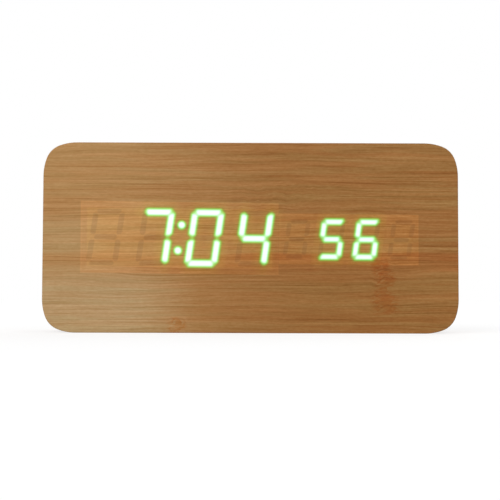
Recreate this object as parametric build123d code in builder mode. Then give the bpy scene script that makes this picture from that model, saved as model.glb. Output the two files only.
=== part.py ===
from build123d import *
import os
from math import cos, pi, radians, sin, sqrt, tan

os.makedirs("parts", exist_ok=True)

# A block of wood with a bamboo veneer, through which two rows of LED digits shine.
# The front faces -Y, +X is to the right as seen from the front and +Z is up.
# The origin lies on the underside, below the middle of the block. Lengths are in millimetres.

# Block
width = 205.0
height = 94.0
depth = 44.0
tight_radius = 10.8  # middle of each corner of the front outline
shoulder_radius = 25.2  # wider arcs that lead from the straight sides into the tight one
shoulder_turn = 20  # degrees that each shoulder arc turns

# Veneer and wood
veneer = 0.6
glue_line = 0.1
side_wall = 13.8
pocket_radius = 16.0
ledge = 5.0  # step around the pocket that the rear cover rests on
rebate_radius = 10.0
rebate_depth = 4.5

# LED modules
module_depth = 8.0
module_gap = 0.2
window_gap = 0.3
modules_x = -0.5  # middle of the pair, seen from the front
large_case_margin = 3.7
large_case_z = -0.2
small_case_margin = 2.75
small_case_z = -0.8
bar_depth = 6.5
bar_gap = 0.35
bar_fit = 0.03
tip_shift = 0.3  # a bar's tip lies this far off its middle
large_bar = 2.8
large_digit_spacing = 24.4
large_column_spacing = 12.95
large_digit_height = 25.2
large_digits_x = 0.3
large_slant_share = 0.154
small_bar = 2.3
small_digit_spacing = 17.2
small_column_spacing = 9.25
small_digit_height = 17.2
small_digits_x = 0.2
small_slant_share = 0.144
colon_dot = 3.2
colon_spacing = 12.6
pin_radius = 0.25
pin_hole_radius = 0.45
pin_spacing = 5.08
pin_length = 3.1
pin_row_inset = 1.9
large_pin_count = 8
small_pin_count = 6

# Display board
board_thickness = 1.6
board_side_gap = 3.0
board_corner = 3.0
board_screw_inset_x = 7.0
board_screw_inset_z = 3.6
chip_lift = 0.1
chip_chamfer = 0.25
chip_end = 0.1
clock_chip_width = 7.5
clock_chip_height = 2.4
clock_leg_count = 14
driver_chip_width = 4.0
driver_chip_height = 1.6
driver_leg_count = 8
leg_spacing = 1.27
leg_width = 0.42
leg_thickness = 0.2
leg_reach = 1.3
leg_foot = 0.7
resistor_length = 3.2
resistor_width = 1.6
resistor_height = 0.6
resistor_spacing = 3.0
resistor_count = 8
crystal_radius = 1.5
crystal_length = 8.0
crystal_round = 0.5
capacitor_radius = 3.15
capacitor_height = 7.7
capacitor_round = 0.35
buzzer_radius = 6.0
buzzer_height = 8.0
buzzer_hole = 1.2
buzzer_chamfer = 0.5

# Leads and the headers that they plug into
lead_radius = 0.6
lead_gap = 1.3
signal_lead_count = 4
battery_lead_count = 2
header_depth = 6.0
header_height = 5.0
header_margin = 1.25
header_chamfer_share = 0.25  # of the margin
signal_lead_run = 9.0
battery_lead_run = 14.0
battery_lead_sag = 3.0
strip_length = 1.2

# Rear cover
cover_thickness = 2.5
cover_gap = 0.3
cover_screw_inset = 7.0
cover_sink = 1.5
cover_sink_gap = 0.3
boss_radius = 3.0
icon_height = 0.3
icon_size = 3.2
icon_bore_share = 0.5
icon_offset = 7.5
vent_width = 1.2
vent_length = 9.0
vent_spacing = 2.6
vent_count = 4
sound_hole_radius = 0.8
sound_ring_radius = 3.0
sound_ring_count = 6
mic_hole_radius = 0.9

# Battery bay, cells and contacts
cell_radius = 5.25
cell_length = 44.5
cell_nub_length = 1.0
cell_nub_radius = 1.9
cell_round = 0.5
cell_clearance = 0.4
cell_count = 4
cell_gap = 0.2
bay_wall = 1.5
bay_side_gap = 0.3
bay_end_inset = 4.5
cell_ridge_width = 1.4
cell_ridge_height = 2.0
cell_ridge_length_share = 0.5
plate_thickness = 0.4
plate_width = 7.6
plate_height = 8.4
tab_width = 2.2
tab_length = 3.6
tab_slot_gap = 0.2
spring_length = 5.2
spring_wire = 0.6
spring_foot_radius = 3.3
spring_tip_radius = 2.0
spring_turns = 4

# Battery door and its rails
door_thickness = 1.6
door_lap = 1.4
door_play = 0.1
tongue_width = 1.2
tongue_thickness = 0.8
rail_width = 1.6
grip_groove = 0.4
grip_width = 0.9
grip_spacing = 2.0
grip_length = 18.0
grip_count = 6
arrow_size = 5.0
door_corner = 0.5

# Control board with its switches, buttons and power jack
control_width = 56.0
control_height = 44.0
control_end_inset = 10.0
control_corner = 2.0
control_screw_inset = 4.0
switch_size = 6.0
switch_height = 3.5
switch_lid = 0.5
switch_base = 1.0
switch_well_radius = 2.5
switch_total = 5.1
switch_spacing = 13.0
plunger_radius = 1.7
plunger_fit = 0.1
plunger_foot_radius = 2.2
plunger_foot_height = 0.7
switch_pin_x = 6.5
switch_pin_z = 4.5
switch_pin_width = 0.7
switch_pin_thickness = 0.3
switch_pin_length = 3.6
button_radius = 3.0
button_gap = 0.2
button_flange = 4.0
button_flange_height = 1.0
button_proud = 1.0
button_round = 0.5
button_dish = 0.3
flange_gap = 0.3
jack_size = 7.0
jack_collar_radius = 3.2
jack_collar_gap = 0.2
jack_shoulder_gap = 0.4
jack_bore = 1.8
jack_end = 1.3
jack_pin_radius = 0.65
jack_pin_inset = 0.8
jack_pin_round_share = 0.5
mic_radius = 3.0
mic_front_gap = 0.4
mic_lift = 1.0
mic_leg_radius = 0.25
bead_radius = 1.1
bead_leg_radius = 0.25
bead_leg_gap = 1.2
bead_front_gap = 0.6

# Small rounds on moulded parts
moulded_round = 0.4

# Screws: M2.5 self-tapping with a cross recess
screw_radius = 1.15
screw_fit = 0.05
screw_hole_gap = 0.35
pilot_gap = 0.6
head_radius = 2.2
head_height = 1.4
head_round = 0.35
cross_length = 2.4
cross_width = 0.55
cross_depth = 0.8
tip_length = 1.5
cover_screw_length = 12.0
board_screw_length = 6.5
control_screw_length = 6.0

# Leads lie side by side
lead_spacing = 2 * lead_radius + lead_gap

# Holes that follow the screws
screw_hole = screw_radius + screw_hole_gap
pilot_radius = screw_radius + screw_fit
cover_pilot_depth = cover_screw_length - cover_thickness + cover_sink + pilot_gap
board_pilot_depth = board_screw_length - board_thickness + pilot_gap
boss_pilot_depth = control_screw_length - board_thickness + pilot_gap

# Depths that several pieces share, from the front to the back
mid_height = height / 2
core_front = veneer - depth / 2
core_back = depth / 2 - veneer
web_back = core_front + module_depth
board_back = web_back + board_thickness
cover_inner = core_back - rebate_depth
cover_outer = cover_inner + cover_thickness
button_back = cover_inner - flange_gap - button_flange_height
control_face = button_back - switch_total
control_back = control_face - board_thickness
cell_y = cover_outer - cell_gap - cell_radius
bay_floor = cell_y - cell_radius - cell_gap

# The pair of modules, side by side
digit_count = 4
large_case_width = digit_count * large_digit_spacing
large_case_height = large_digit_height + large_bar + 2 * large_case_margin
small_case_width = digit_count * small_digit_spacing
small_case_height = small_digit_height + small_bar + 2 * small_case_margin
pair_width = large_case_width + module_gap + small_case_width
large_case_x = modules_x - pair_width / 2 + large_case_width / 2
small_case_x = modules_x + pair_width / 2 - small_case_width / 2

# Outlines that follow one another: the board sits in the pocket, the cover in the rebate
core_inset = veneer + glue_line
core_height = height - 2 * core_inset
board_share = 0.3  # of the height above and below the large module
board_height = large_case_height + board_share * (core_height - large_case_height)
pocket_share = 0.345  # of the height above and below the board, the rest is wood
pocket_width = width - 2 * core_inset - 2 * side_wall
pocket_height = board_height + pocket_share * (core_height - board_height)
rebate_width = pocket_width + 2 * ledge
rebate_height = pocket_height + 2 * ledge
cover_width = rebate_width - 2 * cover_gap
cover_height = rebate_height - 2 * cover_gap
board_width = pocket_width - 2 * board_side_gap
edge_round_share = 0.8
edge_round = edge_round_share * veneer

# Battery bay, measured from the end of the pocket at -X
bay_length = cell_length + spring_length + 2 * plate_thickness
bay_left = bay_end_inset - pocket_width / 2
bay_right = bay_left + bay_length
bay_x = (bay_left + bay_right) / 2
cell_spacing = 2 * cell_radius + cell_clearance
bay_height = cell_count * cell_spacing + 2 * bay_side_gap
door_length = bay_length + 2 * door_lap
door_height = bay_height + 2 * door_lap
door_y = cover_outer + door_thickness
control_x = pocket_width / 2 - control_end_inset - control_width / 2
switch_x_share = 0.42
jack_x_share = -0.36
switch_x = control_x + switch_x_share * control_width / 2
jack_x = control_x + jack_x_share * control_width / 2
switch_places = [(switch_x, switch_spacing), (switch_x, 0), (switch_x, -switch_spacing)]


def across(y):
    """The upright plane at depth y, with its origin at mid height. It extrudes to the front."""
    return Plane((0, y, mid_height), x_dir=(1, 0, 0), z_dir=(0, -1, 0))


def at(y, places):
    """Points at depth y for places given as (x, height above mid height)."""
    return [(x, y, mid_height + z) for x, z in places]


def corner_places(half_x, half_z, x=0):
    """The four corners of a rectangle that is centred at x."""
    return [(x - half_x, half_z), (x + half_x, half_z), (x + half_x, -half_z), (x - half_x, -half_z)]


def corner_reach(inset):
    """How far one corner of the front outline reaches along each side."""
    turn = radians(shoulder_turn)
    shoulder_part = (shoulder_radius - inset) * (sin(turn) + 1 - cos(turn))
    return shoulder_part + (tight_radius - inset) * (cos(turn) - sin(turn))


def trace_outline(inset):
    """The front outline, moved inwards, as straight sides joined by three tangent arcs."""
    reach = corner_reach(inset)
    half_width = width / 2 - inset
    half_height = height / 2 - inset
    arcs = [
        (shoulder_radius - inset, shoulder_turn),
        (tight_radius - inset, 90 - 2 * shoulder_turn),
        (shoulder_radius - inset, shoulder_turn),
    ]
    start = Vector(reach - half_width, -half_height)
    heading = Vector(1, 0)
    for half_side in (half_width, half_height, half_width, half_height):
        end = start + heading * 2 * (half_side - reach)
        Line(start, end)
        start = end
        for radius, turn in arcs:
            centre = start + heading.rotate(Axis.Z, 90) * radius
            end = centre + (start - centre).rotate(Axis.Z, turn)
            RadiusArc(start, end, -radius)
            start = end
            heading = heading.rotate(Axis.Z, turn)


def outline_block(inset, back, thickness):
    """A slab with the front outline, from its back plane forwards."""
    with BuildPart() as block:
        with BuildSketch(across(back)):
            with BuildLine():
                trace_outline(inset)
            make_face()
        extrude(amount=thickness)
    return block.part


def cross_screw(length):
    """A pan-head screw along +Y, with the underside of its head at the origin."""
    with BuildPart() as screw:
        with BuildSketch(Plane.XY):
            with BuildLine():
                Polyline(
                    (0, -length),
                    (screw_radius, tip_length - length),
                    (screw_radius, 0),
                    (head_radius, 0),
                    (head_radius, head_height - head_round),
                    (head_radius - head_round, head_height),
                    (0, head_height),
                    close=True,
                )
            make_face()
        revolve(axis=Axis.Y)
        with BuildSketch(Plane.XZ.offset(-head_height)):
            Rectangle(cross_length, cross_width)
            Rectangle(cross_width, cross_length)
        extrude(amount=cross_depth, mode=Mode.SUBTRACT)
    return screw.part


# Digits: each bar runs between two nodes, in shares of half the column spacing and half the height,
# and its side towards the digit's outline is the one given last, except on the middle bar
bar_end_shares = {
    "a": ((-1, 1), (1, 1), (0, 1)),
    "b": ((1, 1), (1, 0), (1, 0)),
    "c": ((1, 0), (1, -1), (1, 0)),
    "d": ((-1, -1), (1, -1), (0, -1)),
    "e": ((-1, -1), (-1, 0), (-1, 0)),
    "f": ((-1, 0), (-1, 1), (-1, 0)),
    "g": ((-1, 0), (1, 0), (0, 1)),
}
lit_bars = {
    "blank": "",
    "zero": "abcdef",
    "four": "bcfg",
    "five": "acdfg",
    "six": "acdefg",
    "seven": "abc",
}
large_reading = ("blank", "seven", "zero", "four")
small_reading = ("blank", "five", "six", "blank")


def tip_outline(node, along, outward, bar, gap, shift):
    """Three corners of a bar's end, from its inner side over its tip to its outer side."""
    return [
        node + along * (gap + bar / 2) - outward * (bar / 2),
        node + along * (gap - shift) + outward * shift,
        node + along * (gap + bar / 2 - 2 * shift) + outward * (bar / 2),
    ]


def bar_outline(start, end, outward, bar, gap, shifts):
    """The six corners of a bar with pointed ends."""
    along = (end - start).normalized()
    near = tip_outline(start, along, outward, bar, gap, shifts[0])
    far = tip_outline(end, -along, outward, bar, gap, shifts[1])
    return near + far[::-1]


def node_shift(name, node_z):
    """The tips lie towards the outline at the corners, and towards the inside where uprights meet."""
    if name == "g":
        return 0
    return tip_shift if node_z else -tip_shift


def draw_bars(reading, lit, centre, spacing, columns, tall, bar, slant, slack=0):
    """Draw the lit or the dark bars of a row of digits, slanted to the right."""
    for place, numeral in enumerate(reading):
        middle_x = centre[0] + (place - (digit_count - 1) / 2) * spacing
        for name, (*ends, outward) in bar_end_shares.items():
            if (name in lit_bars[numeral]) != lit:
                continue
            start, end = [Vector(x * columns / 2, z * tall / 2) for x, z in ends]
            shifts = [node_shift(name, z) for _, z in ends]
            corners = bar_outline(
                start, end, Vector(*outward), bar - 2 * slack, bar_gap + slack, shifts
            )
            Polygon(*[(middle_x + c.X + slant * c.Y, centre[1] + c.Y) for c in corners], align=None)


def draw_large(lit, slack=0):
    """Bars of the four large digits, with the colon's two dots among the lit ones."""
    centre = (large_case_x + large_digits_x, large_case_z)
    draw_bars(
        large_reading, lit, centre, large_digit_spacing, large_column_spacing, large_digit_height,
        large_bar, large_slant_share, slack,
    )
    if lit:
        lean = large_slant_share * colon_spacing / 2
        rise = colon_spacing / 2
        with Locations((centre[0] + lean, centre[1] + rise), (centre[0] - lean, centre[1] - rise)):
            Circle(colon_dot / 2 - slack)


def draw_small(lit, slack=0):
    """Bars of the four small digits."""
    centre = (small_case_x + small_digits_x, small_case_z)
    draw_bars(
        small_reading, lit, centre, small_digit_spacing, small_column_spacing, small_digit_height,
        small_bar, small_slant_share, slack,
    )


# Wood core: routed from the back, with a stepped window for the two modules
cover_screw_places = corner_places(
    cover_width / 2 - cover_screw_inset, cover_height / 2 - cover_screw_inset
)
board_screw_places = corner_places(
    board_width / 2 - board_screw_inset_x, board_height / 2 - board_screw_inset_z
)
with BuildPart() as wood_core:
    add(outline_block(core_inset, core_back, core_back - core_front))
    with BuildSketch(across(core_back)):
        RectangleRounded(rebate_width, rebate_height, rebate_radius)
    extrude(amount=rebate_depth, mode=Mode.SUBTRACT)
    with BuildSketch(across(cover_inner)):
        RectangleRounded(pocket_width, pocket_height, pocket_radius)
    extrude(amount=cover_inner - web_back, mode=Mode.SUBTRACT)
    with BuildSketch(across(web_back)):
        with Locations((large_case_x, large_case_z)):
            Rectangle(large_case_width + 2 * window_gap, large_case_height + 2 * window_gap)
        with Locations((small_case_x, small_case_z)):
            Rectangle(small_case_width + 2 * window_gap, small_case_height + 2 * window_gap)
    extrude(amount=module_depth, mode=Mode.SUBTRACT)
    with BuildSketch(across(cover_inner)):
        with Locations(*cover_screw_places):
            Circle(pilot_radius)
    extrude(amount=cover_pilot_depth, mode=Mode.SUBTRACT)
    with BuildSketch(across(web_back)):
        with Locations(*board_screw_places):
            Circle(pilot_radius)
    extrude(amount=board_pilot_depth, mode=Mode.SUBTRACT)
wood_core.part.label = "wood_core"
export_step(wood_core.part, "parts/wood_core.step")

# Front veneer, over the whole front, with a small round on its edge
with BuildPart() as front_veneer:
    add(outline_block(0, core_front, veneer))
    fillet(front_veneer.faces().sort_by(Axis.Y)[0].edges(), edge_round)
front_veneer.part.label = "front_veneer"
export_step(front_veneer.part, "parts/front_veneer.step")

# Edge veneer: one strip around the top and both ends, down to the flat underside
base_length = width - 2 * corner_reach(0)
with BuildPart() as edge_veneer:
    add(outline_block(0, core_back, core_back - core_front))
    add(outline_block(veneer, core_back, core_back - core_front), mode=Mode.SUBTRACT)
    with Locations((0, 0, 0)):
        Box(
            base_length, depth, 2 * veneer,
            align=(Align.CENTER, Align.CENTER, Align.CENTER), mode=Mode.SUBTRACT,
        )
edge_veneer.part.label = "edge_veneer"
export_step(edge_veneer.part, "parts/edge_veneer.step")

# Base veneer: the flat strip that the clock stands on
with BuildPart() as base_veneer:
    Box(
        base_length, core_back - core_front, veneer,
        align=(Align.CENTER, Align.CENTER, Align.MIN),
    )
base_veneer.part.label = "base_veneer"
export_step(base_veneer.part, "parts/base_veneer.step")

# Back veneer: a frame around the rear cover
with BuildPart() as back_veneer:
    add(outline_block(0, core_back + veneer, veneer))
    fillet(back_veneer.faces().sort_by(Axis.Y)[-1].edges(), edge_round)
    with BuildSketch(across(core_back + veneer)):
        RectangleRounded(rebate_width, rebate_height, rebate_radius)
    extrude(amount=veneer, mode=Mode.SUBTRACT)
back_veneer.part.label = "back_veneer"
export_step(back_veneer.part, "parts/back_veneer.step")

# LED modules: a white case each, with a well for every bar and a cast bar in every well
with BuildPart() as large_module_case:
    with BuildSketch(across(web_back)):
        with Locations((large_case_x, large_case_z)):
            Rectangle(large_case_width, large_case_height)
    extrude(amount=module_depth)
    with BuildSketch(across(core_front + bar_depth)):
        draw_large(True)
        draw_large(False)
    extrude(amount=bar_depth, mode=Mode.SUBTRACT)
large_module_case.part.label = "large_module_case"
export_step(large_module_case.part, "parts/large_module_case.step")

with BuildPart() as large_lit_bars:
    with BuildSketch(across(core_front + bar_depth)):
        draw_large(True, bar_fit)
    extrude(amount=bar_depth)
large_lit_bars.part.label = "large_lit_bars"
export_step(large_lit_bars.part, "parts/large_lit_bars.step")

with BuildPart() as large_dark_bars:
    with BuildSketch(across(core_front + bar_depth)):
        draw_large(False, bar_fit)
    extrude(amount=bar_depth)
large_dark_bars.part.label = "large_dark_bars"
export_step(large_dark_bars.part, "parts/large_dark_bars.step")

with BuildPart() as small_module_case:
    with BuildSketch(across(web_back)):
        with Locations((small_case_x, small_case_z)):
            Rectangle(small_case_width, small_case_height)
    extrude(amount=module_depth)
    with BuildSketch(across(core_front + bar_depth)):
        draw_small(True)
        draw_small(False)
    extrude(amount=bar_depth, mode=Mode.SUBTRACT)
small_module_case.part.label = "small_module_case"
export_step(small_module_case.part, "parts/small_module_case.step")

with BuildPart() as small_lit_bars:
    with BuildSketch(across(core_front + bar_depth)):
        draw_small(True, bar_fit)
    extrude(amount=bar_depth)
small_lit_bars.part.label = "small_lit_bars"
export_step(small_lit_bars.part, "parts/small_lit_bars.step")

with BuildPart() as small_dark_bars:
    with BuildSketch(across(core_front + bar_depth)):
        draw_small(False, bar_fit)
    extrude(amount=bar_depth)
small_dark_bars.part.label = "small_dark_bars"
export_step(small_dark_bars.part, "parts/small_dark_bars.step")


def pin_places():
    """Two rows of pins behind each module."""
    rows = [
        (large_case_x, large_case_z, large_case_height / 2 - pin_row_inset, large_pin_count),
        (small_case_x, small_case_z, small_case_height / 2 - pin_row_inset, small_pin_count),
    ]
    places = []
    for x, z, row_z, count in rows:
        for row in (-1, 1):
            for pin in range(count):
                place_x = x + (pin - (count - 1) / 2) * pin_spacing
                places.append((place_x, z + row * row_z))
    return places


with BuildPart() as module_pins:
    with BuildSketch(across(web_back + pin_length)):
        with Locations(*pin_places()):
            Circle(pin_radius)
    extrude(amount=pin_length)
module_pins.part.label = "module_pins"
export_step(module_pins.part, "parts/module_pins.step")

# Display board, screwed to the web behind the modules
with BuildPart() as display_board:
    with BuildSketch(across(board_back)):
        RectangleRounded(board_width, board_height, board_corner)
        with Locations(*pin_places()):
            Circle(pin_hole_radius, mode=Mode.SUBTRACT)
        with Locations(*board_screw_places):
            Circle(screw_hole, mode=Mode.SUBTRACT)
    extrude(amount=board_thickness)
display_board.part.label = "display_board"
export_step(display_board.part, "parts/display_board.step")

with BuildPart() as board_screws:
    with Locations(*at(board_back, board_screw_places)):
        add(cross_screw(board_screw_length))
board_screws.part.label = "board_screws"
export_step(board_screws.part, "parts/board_screws.step")

# Chips on the back of the display board, placed in shares of half its width
clock_chip_share = -0.53
driver_chip_shares = (-0.27, 0.5)
clock_chip_x = clock_chip_share * board_width / 2
driver_chip_places = [share * board_width / 2 for share in driver_chip_shares]
clock_chip = (clock_chip_width, clock_chip_height, clock_leg_count)
driver_chip = (driver_chip_width, driver_chip_height, driver_leg_count)
chips = [(clock_chip_x, *clock_chip)] + [(place, *driver_chip) for place in driver_chip_places]
with BuildPart() as chip_bodies:
    for chip_x, chip_width, chip_height, leg_count in chips:
        with BuildSketch(across(board_back + chip_height)):
            with Locations((chip_x, 0)):
                Rectangle(leg_count * leg_spacing + 2 * chip_end, chip_width)
        extrude(amount=chip_height - chip_lift)
    for top_faces in chip_bodies.faces().filter_by(Axis.Y).group_by(Axis.Y)[1:]:
        chamfer(top_faces.edges(), chip_chamfer)
chip_bodies.part.label = "chip_bodies"
export_step(chip_bodies.part, "parts/chip_bodies.step")


def gull_leg(chip_width, chip_height):
    """A pair of bent legs, one on each side of a chip body that is centred on the origin."""
    root_y = chip_lift + (chip_height - chip_lift) / 2
    root = chip_width / 2
    knee = root + leg_reach - leg_foot
    toe = root + leg_reach
    with BuildPart() as leg:
        with BuildSketch(Plane.YZ):
            with BuildLine():
                Polyline(
                    (root_y - leg_thickness, root),
                    (root_y, root),
                    (root_y, knee),
                    (leg_thickness, knee),
                    (leg_thickness, toe),
                    (0, toe),
                    (0, knee - leg_thickness),
                    (root_y - leg_thickness, knee - leg_thickness),
                    close=True,
                )
            make_face()
            mirror(about=Plane.XZ)
        extrude(amount=leg_width / 2, both=True)
    return leg.part


with BuildPart() as chip_legs:
    for chip_x, chip_width, chip_height, leg_count in chips:
        first_leg = chip_x - (leg_count - 1) / 2 * leg_spacing
        leg_places = [(first_leg + leg * leg_spacing, 0) for leg in range(leg_count)]
        with Locations(*at(board_back, leg_places)):
            add(gull_leg(chip_width, chip_height))
chip_legs.part.label = "chip_legs"
export_step(chip_legs.part, "parts/chip_legs.step")

# Small parts beside the chips: resistors in a row, crystal, capacitor and buzzer
resistor_row_share = 0.78
with BuildPart() as chip_resistors:
    with BuildSketch(across(board_back + resistor_height)):
        with Locations((resistor_row_share * board_width / 2, 0)):
            with GridLocations(resistor_spacing, 0, resistor_count, 1):
                Rectangle(resistor_width, resistor_length)
    extrude(amount=resistor_height)
chip_resistors.part.label = "chip_resistors"
export_step(chip_resistors.part, "parts/chip_resistors.step")

crystal_place_shares = (-0.72, 0.3)
with BuildPart() as crystal:
    crystal_plane = Plane(
        (
            crystal_place_shares[0] * board_width / 2,
            board_back + crystal_radius,
            mid_height + crystal_place_shares[1] * board_height / 2 - crystal_length / 2,
        ),
        z_dir=(0, 0, 1),
    )
    with BuildSketch(crystal_plane):
        Circle(crystal_radius)
    extrude(amount=crystal_length)
    fillet(crystal.edges().sort_by(Axis.Z)[-1], crystal_round)
crystal.part.label = "crystal"
export_step(crystal.part, "parts/crystal.step")

capacitor_place_shares = (-0.83, -0.2)
with BuildPart() as capacitor:
    with BuildSketch(across(board_back + capacitor_height)):
        with Locations(
            (capacitor_place_shares[0] * board_width / 2, capacitor_place_shares[1] * board_height / 2)
        ):
            Circle(capacitor_radius)
    extrude(amount=capacitor_height)
    fillet(capacitor.edges(), capacitor_round)
capacitor.part.label = "capacitor"
export_step(capacitor.part, "parts/capacitor.step")

buzzer_place_shares = (-0.02, 0.24)
buzzer_place = (buzzer_place_shares[0] * board_width / 2, buzzer_place_shares[1] * board_height / 2)
with BuildPart() as buzzer:
    with BuildSketch(across(board_back + buzzer_height)):
        with Locations(buzzer_place):
            Circle(buzzer_radius)
    extrude(amount=buzzer_height)
    chamfer(buzzer.edges().sort_by(Axis.Y)[-1], buzzer_chamfer)
    with BuildSketch(across(board_back + buzzer_height)):
        with Locations(buzzer_place):
            Circle(buzzer_hole)
    extrude(amount=buzzer_height / 2, mode=Mode.SUBTRACT)
buzzer.part.label = "buzzer"
export_step(buzzer.part, "parts/buzzer.step")

# Headers: side-entry housings, whose leads leave along X
display_header_share = -0.05
signal_row_share = -0.32
battery_row_share = 0.44
header_y = header_height / 2
display_header_x = display_header_share * board_width / 2
signal_z = signal_row_share * control_height / 2
battery_z = battery_row_share * control_height / 2
control_header_x = control_x - control_width / 2 + header_depth / 2
signal_header_width = (signal_lead_count - 1) * lead_spacing + 2 * (lead_radius + header_margin)
battery_header_width = (battery_lead_count - 1) * lead_spacing + 2 * (lead_radius + header_margin)


def header(count, wide):
    """A header that stands on its board towards +Y, with a socket for each lead at +X."""
    with BuildPart() as body:
        with BuildSketch(Plane.YZ.offset(-header_depth / 2)):
            with Locations((header_y, 0)):
                Rectangle(header_height, wide)
        extrude(amount=header_depth)
        with BuildSketch(Plane.YZ.offset(header_depth / 2)):
            with Locations((header_y, 0)):
                with GridLocations(0, lead_spacing, 1, count):
                    Circle(lead_radius + screw_fit)
        extrude(amount=-strip_length, mode=Mode.SUBTRACT)
        top_edges = body.faces().sort_by(Axis.Y)[-1].edges().filter_by(Axis.Z)
        chamfer(top_edges, header_chamfer_share * header_margin)
    return body.part


with BuildPart() as display_header:
    with Locations((display_header_x, board_back, mid_height + signal_z)):
        add(header(signal_lead_count, signal_header_width))
display_header.part.label = "display_header"
export_step(display_header.part, "parts/display_header.step")

with BuildPart() as signal_header:
    with Locations(Location((control_header_x, control_back, mid_height + signal_z), (0, 0, 180))):
        add(header(signal_lead_count, signal_header_width))
signal_header.part.label = "signal_header"
export_step(signal_header.part, "parts/signal_header.step")

with BuildPart() as battery_header:
    with Locations(Location((control_header_x, control_back, mid_height + battery_z), (0, 0, 180))):
        add(header(battery_lead_count, battery_header_width))
battery_header.part.label = "battery_header"
export_step(battery_header.part, "parts/battery_header.step")

# Rear cover: a plate in the rebate with the battery bay moulded on its inner side
control_screw_places = corner_places(
    control_width / 2 - control_screw_inset, control_height / 2 - control_screw_inset, control_x
)
cell_places = [((cell_count - 1) / 2 - place) * cell_spacing for place in range(cell_count)]
mic_place_shares = (-0.36, 0.6)
vent_place_shares = (-0.36, -0.6)
mic_place = (
    control_x + mic_place_shares[0] * control_width / 2,
    mic_place_shares[1] * control_height / 2,
)
vent_place = (
    control_x + vent_place_shares[0] * control_width / 2,
    vent_place_shares[1] * control_height / 2,
)
rail_z = door_height / 2 + tongue_width + door_play
rail_start = bay_x - door_length / 2
with BuildPart() as rear_cover:
    with BuildSketch(across(cover_outer)):
        RectangleRounded(cover_width, cover_height, rebate_radius - cover_gap)
    extrude(amount=cover_thickness)
    # Bay walls and floor
    with BuildSketch(across(cover_inner)):
        with Locations((bay_x, 0)):
            Rectangle(bay_length + 2 * bay_wall, bay_height + 2 * bay_wall)
    extrude(amount=cover_inner - bay_floor + bay_wall)
    with BuildSketch(across(cover_outer)):
        with Locations((bay_x, 0)):
            Rectangle(bay_length, bay_height)
    extrude(amount=cover_outer - bay_floor, mode=Mode.SUBTRACT)
    # Ridges between the cells
    with BuildSketch(across(bay_floor + cell_ridge_height)):
        with Locations((bay_x, 0)):
            with GridLocations(0, cell_spacing, 1, cell_count - 1):
                Rectangle(cell_ridge_length_share * cell_length, cell_ridge_width)
    extrude(amount=cell_ridge_height)
    # Slots for the two contact tabs
    with BuildSketch(Plane.YZ.offset(bay_right)):
        with Locations((cell_y, mid_height + cell_places[0]), (cell_y, mid_height + cell_places[-1])):
            Rectangle(tab_width + 2 * tab_slot_gap, plate_thickness + 2 * tab_slot_gap)
    extrude(amount=bay_wall, mode=Mode.SUBTRACT)
    # Bosses that carry the control board
    with BuildSketch(across(cover_inner)):
        with Locations(*control_screw_places):
            Circle(boss_radius)
    extrude(amount=cover_inner - control_face)
    with BuildSketch(across(control_face + boss_pilot_depth)):
        with Locations(*control_screw_places):
            Circle(pilot_radius)
    extrude(amount=boss_pilot_depth, mode=Mode.SUBTRACT)
    # Holes for the buttons, the jack, the microphone and the buzzer
    with BuildSketch(across(cover_outer)):
        with Locations(*switch_places):
            Circle(button_radius + button_gap)
        with Locations((jack_x, 0)):
            Circle(jack_collar_radius + jack_collar_gap)
        with Locations(mic_place):
            Circle(mic_hole_radius)
        with Locations(buzzer_place):
            with PolarLocations(sound_ring_radius, sound_ring_count):
                Circle(sound_hole_radius)
        with Locations(buzzer_place):
            Circle(sound_hole_radius)
        with Locations(vent_place):
            with GridLocations(0, vent_spacing, 1, vent_count):
                SlotOverall(vent_length, vent_width)
        with Locations(*cover_screw_places):
            Circle(screw_hole)
    extrude(amount=cover_thickness, mode=Mode.SUBTRACT)
    with BuildSketch(across(cover_outer)):
        with Locations(*cover_screw_places):
            Circle(head_radius + cover_sink_gap)
    extrude(amount=cover_sink, mode=Mode.SUBTRACT)
    # Rails that hold the door's tongues, and the stop at their closed end
    for side in (1, -1):
        with BuildSketch(across(door_y)):
            with Locations((bay_x, side * (rail_z + rail_width / 2))):
                Rectangle(door_length, rail_width)
        extrude(amount=door_thickness)
        lip_width = rail_width + tongue_width
        with BuildSketch(across(door_y)):
            with Locations((bay_x, side * (rail_z + rail_width - lip_width / 2))):
                Rectangle(door_length, lip_width)
        extrude(amount=door_thickness - tongue_thickness - 2 * door_play)
    with BuildSketch(across(door_y)):
        with Locations((rail_start - door_play - rail_width / 2, 0)):
            Rectangle(rail_width, 2 * (rail_z + rail_width))
    extrude(amount=door_thickness)
    # Raised marks beside the buttons: a ring for set, arrowheads for up and down
    with BuildSketch(across(cover_outer + icon_height)):
        with Locations((switch_x - icon_offset, switch_spacing)):
            Circle(icon_size / 2)
            Circle(icon_bore_share * icon_size / 2, mode=Mode.SUBTRACT)
        with Locations((switch_x - icon_offset, 0)):
            RegularPolygon(icon_size / 2, 3, rotation=90)
        with Locations((switch_x - icon_offset, -switch_spacing)):
            RegularPolygon(icon_size / 2, 3, rotation=-90)
    extrude(amount=icon_height)
rear_cover.part.label = "rear_cover"
export_step(rear_cover.part, "parts/rear_cover.step")

with BuildPart() as cover_screws:
    with Locations(*at(cover_outer - cover_sink, cover_screw_places)):
        add(cross_screw(cover_screw_length))
cover_screws.part.label = "cover_screws"
export_step(cover_screws.part, "parts/cover_screws.step")

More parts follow.
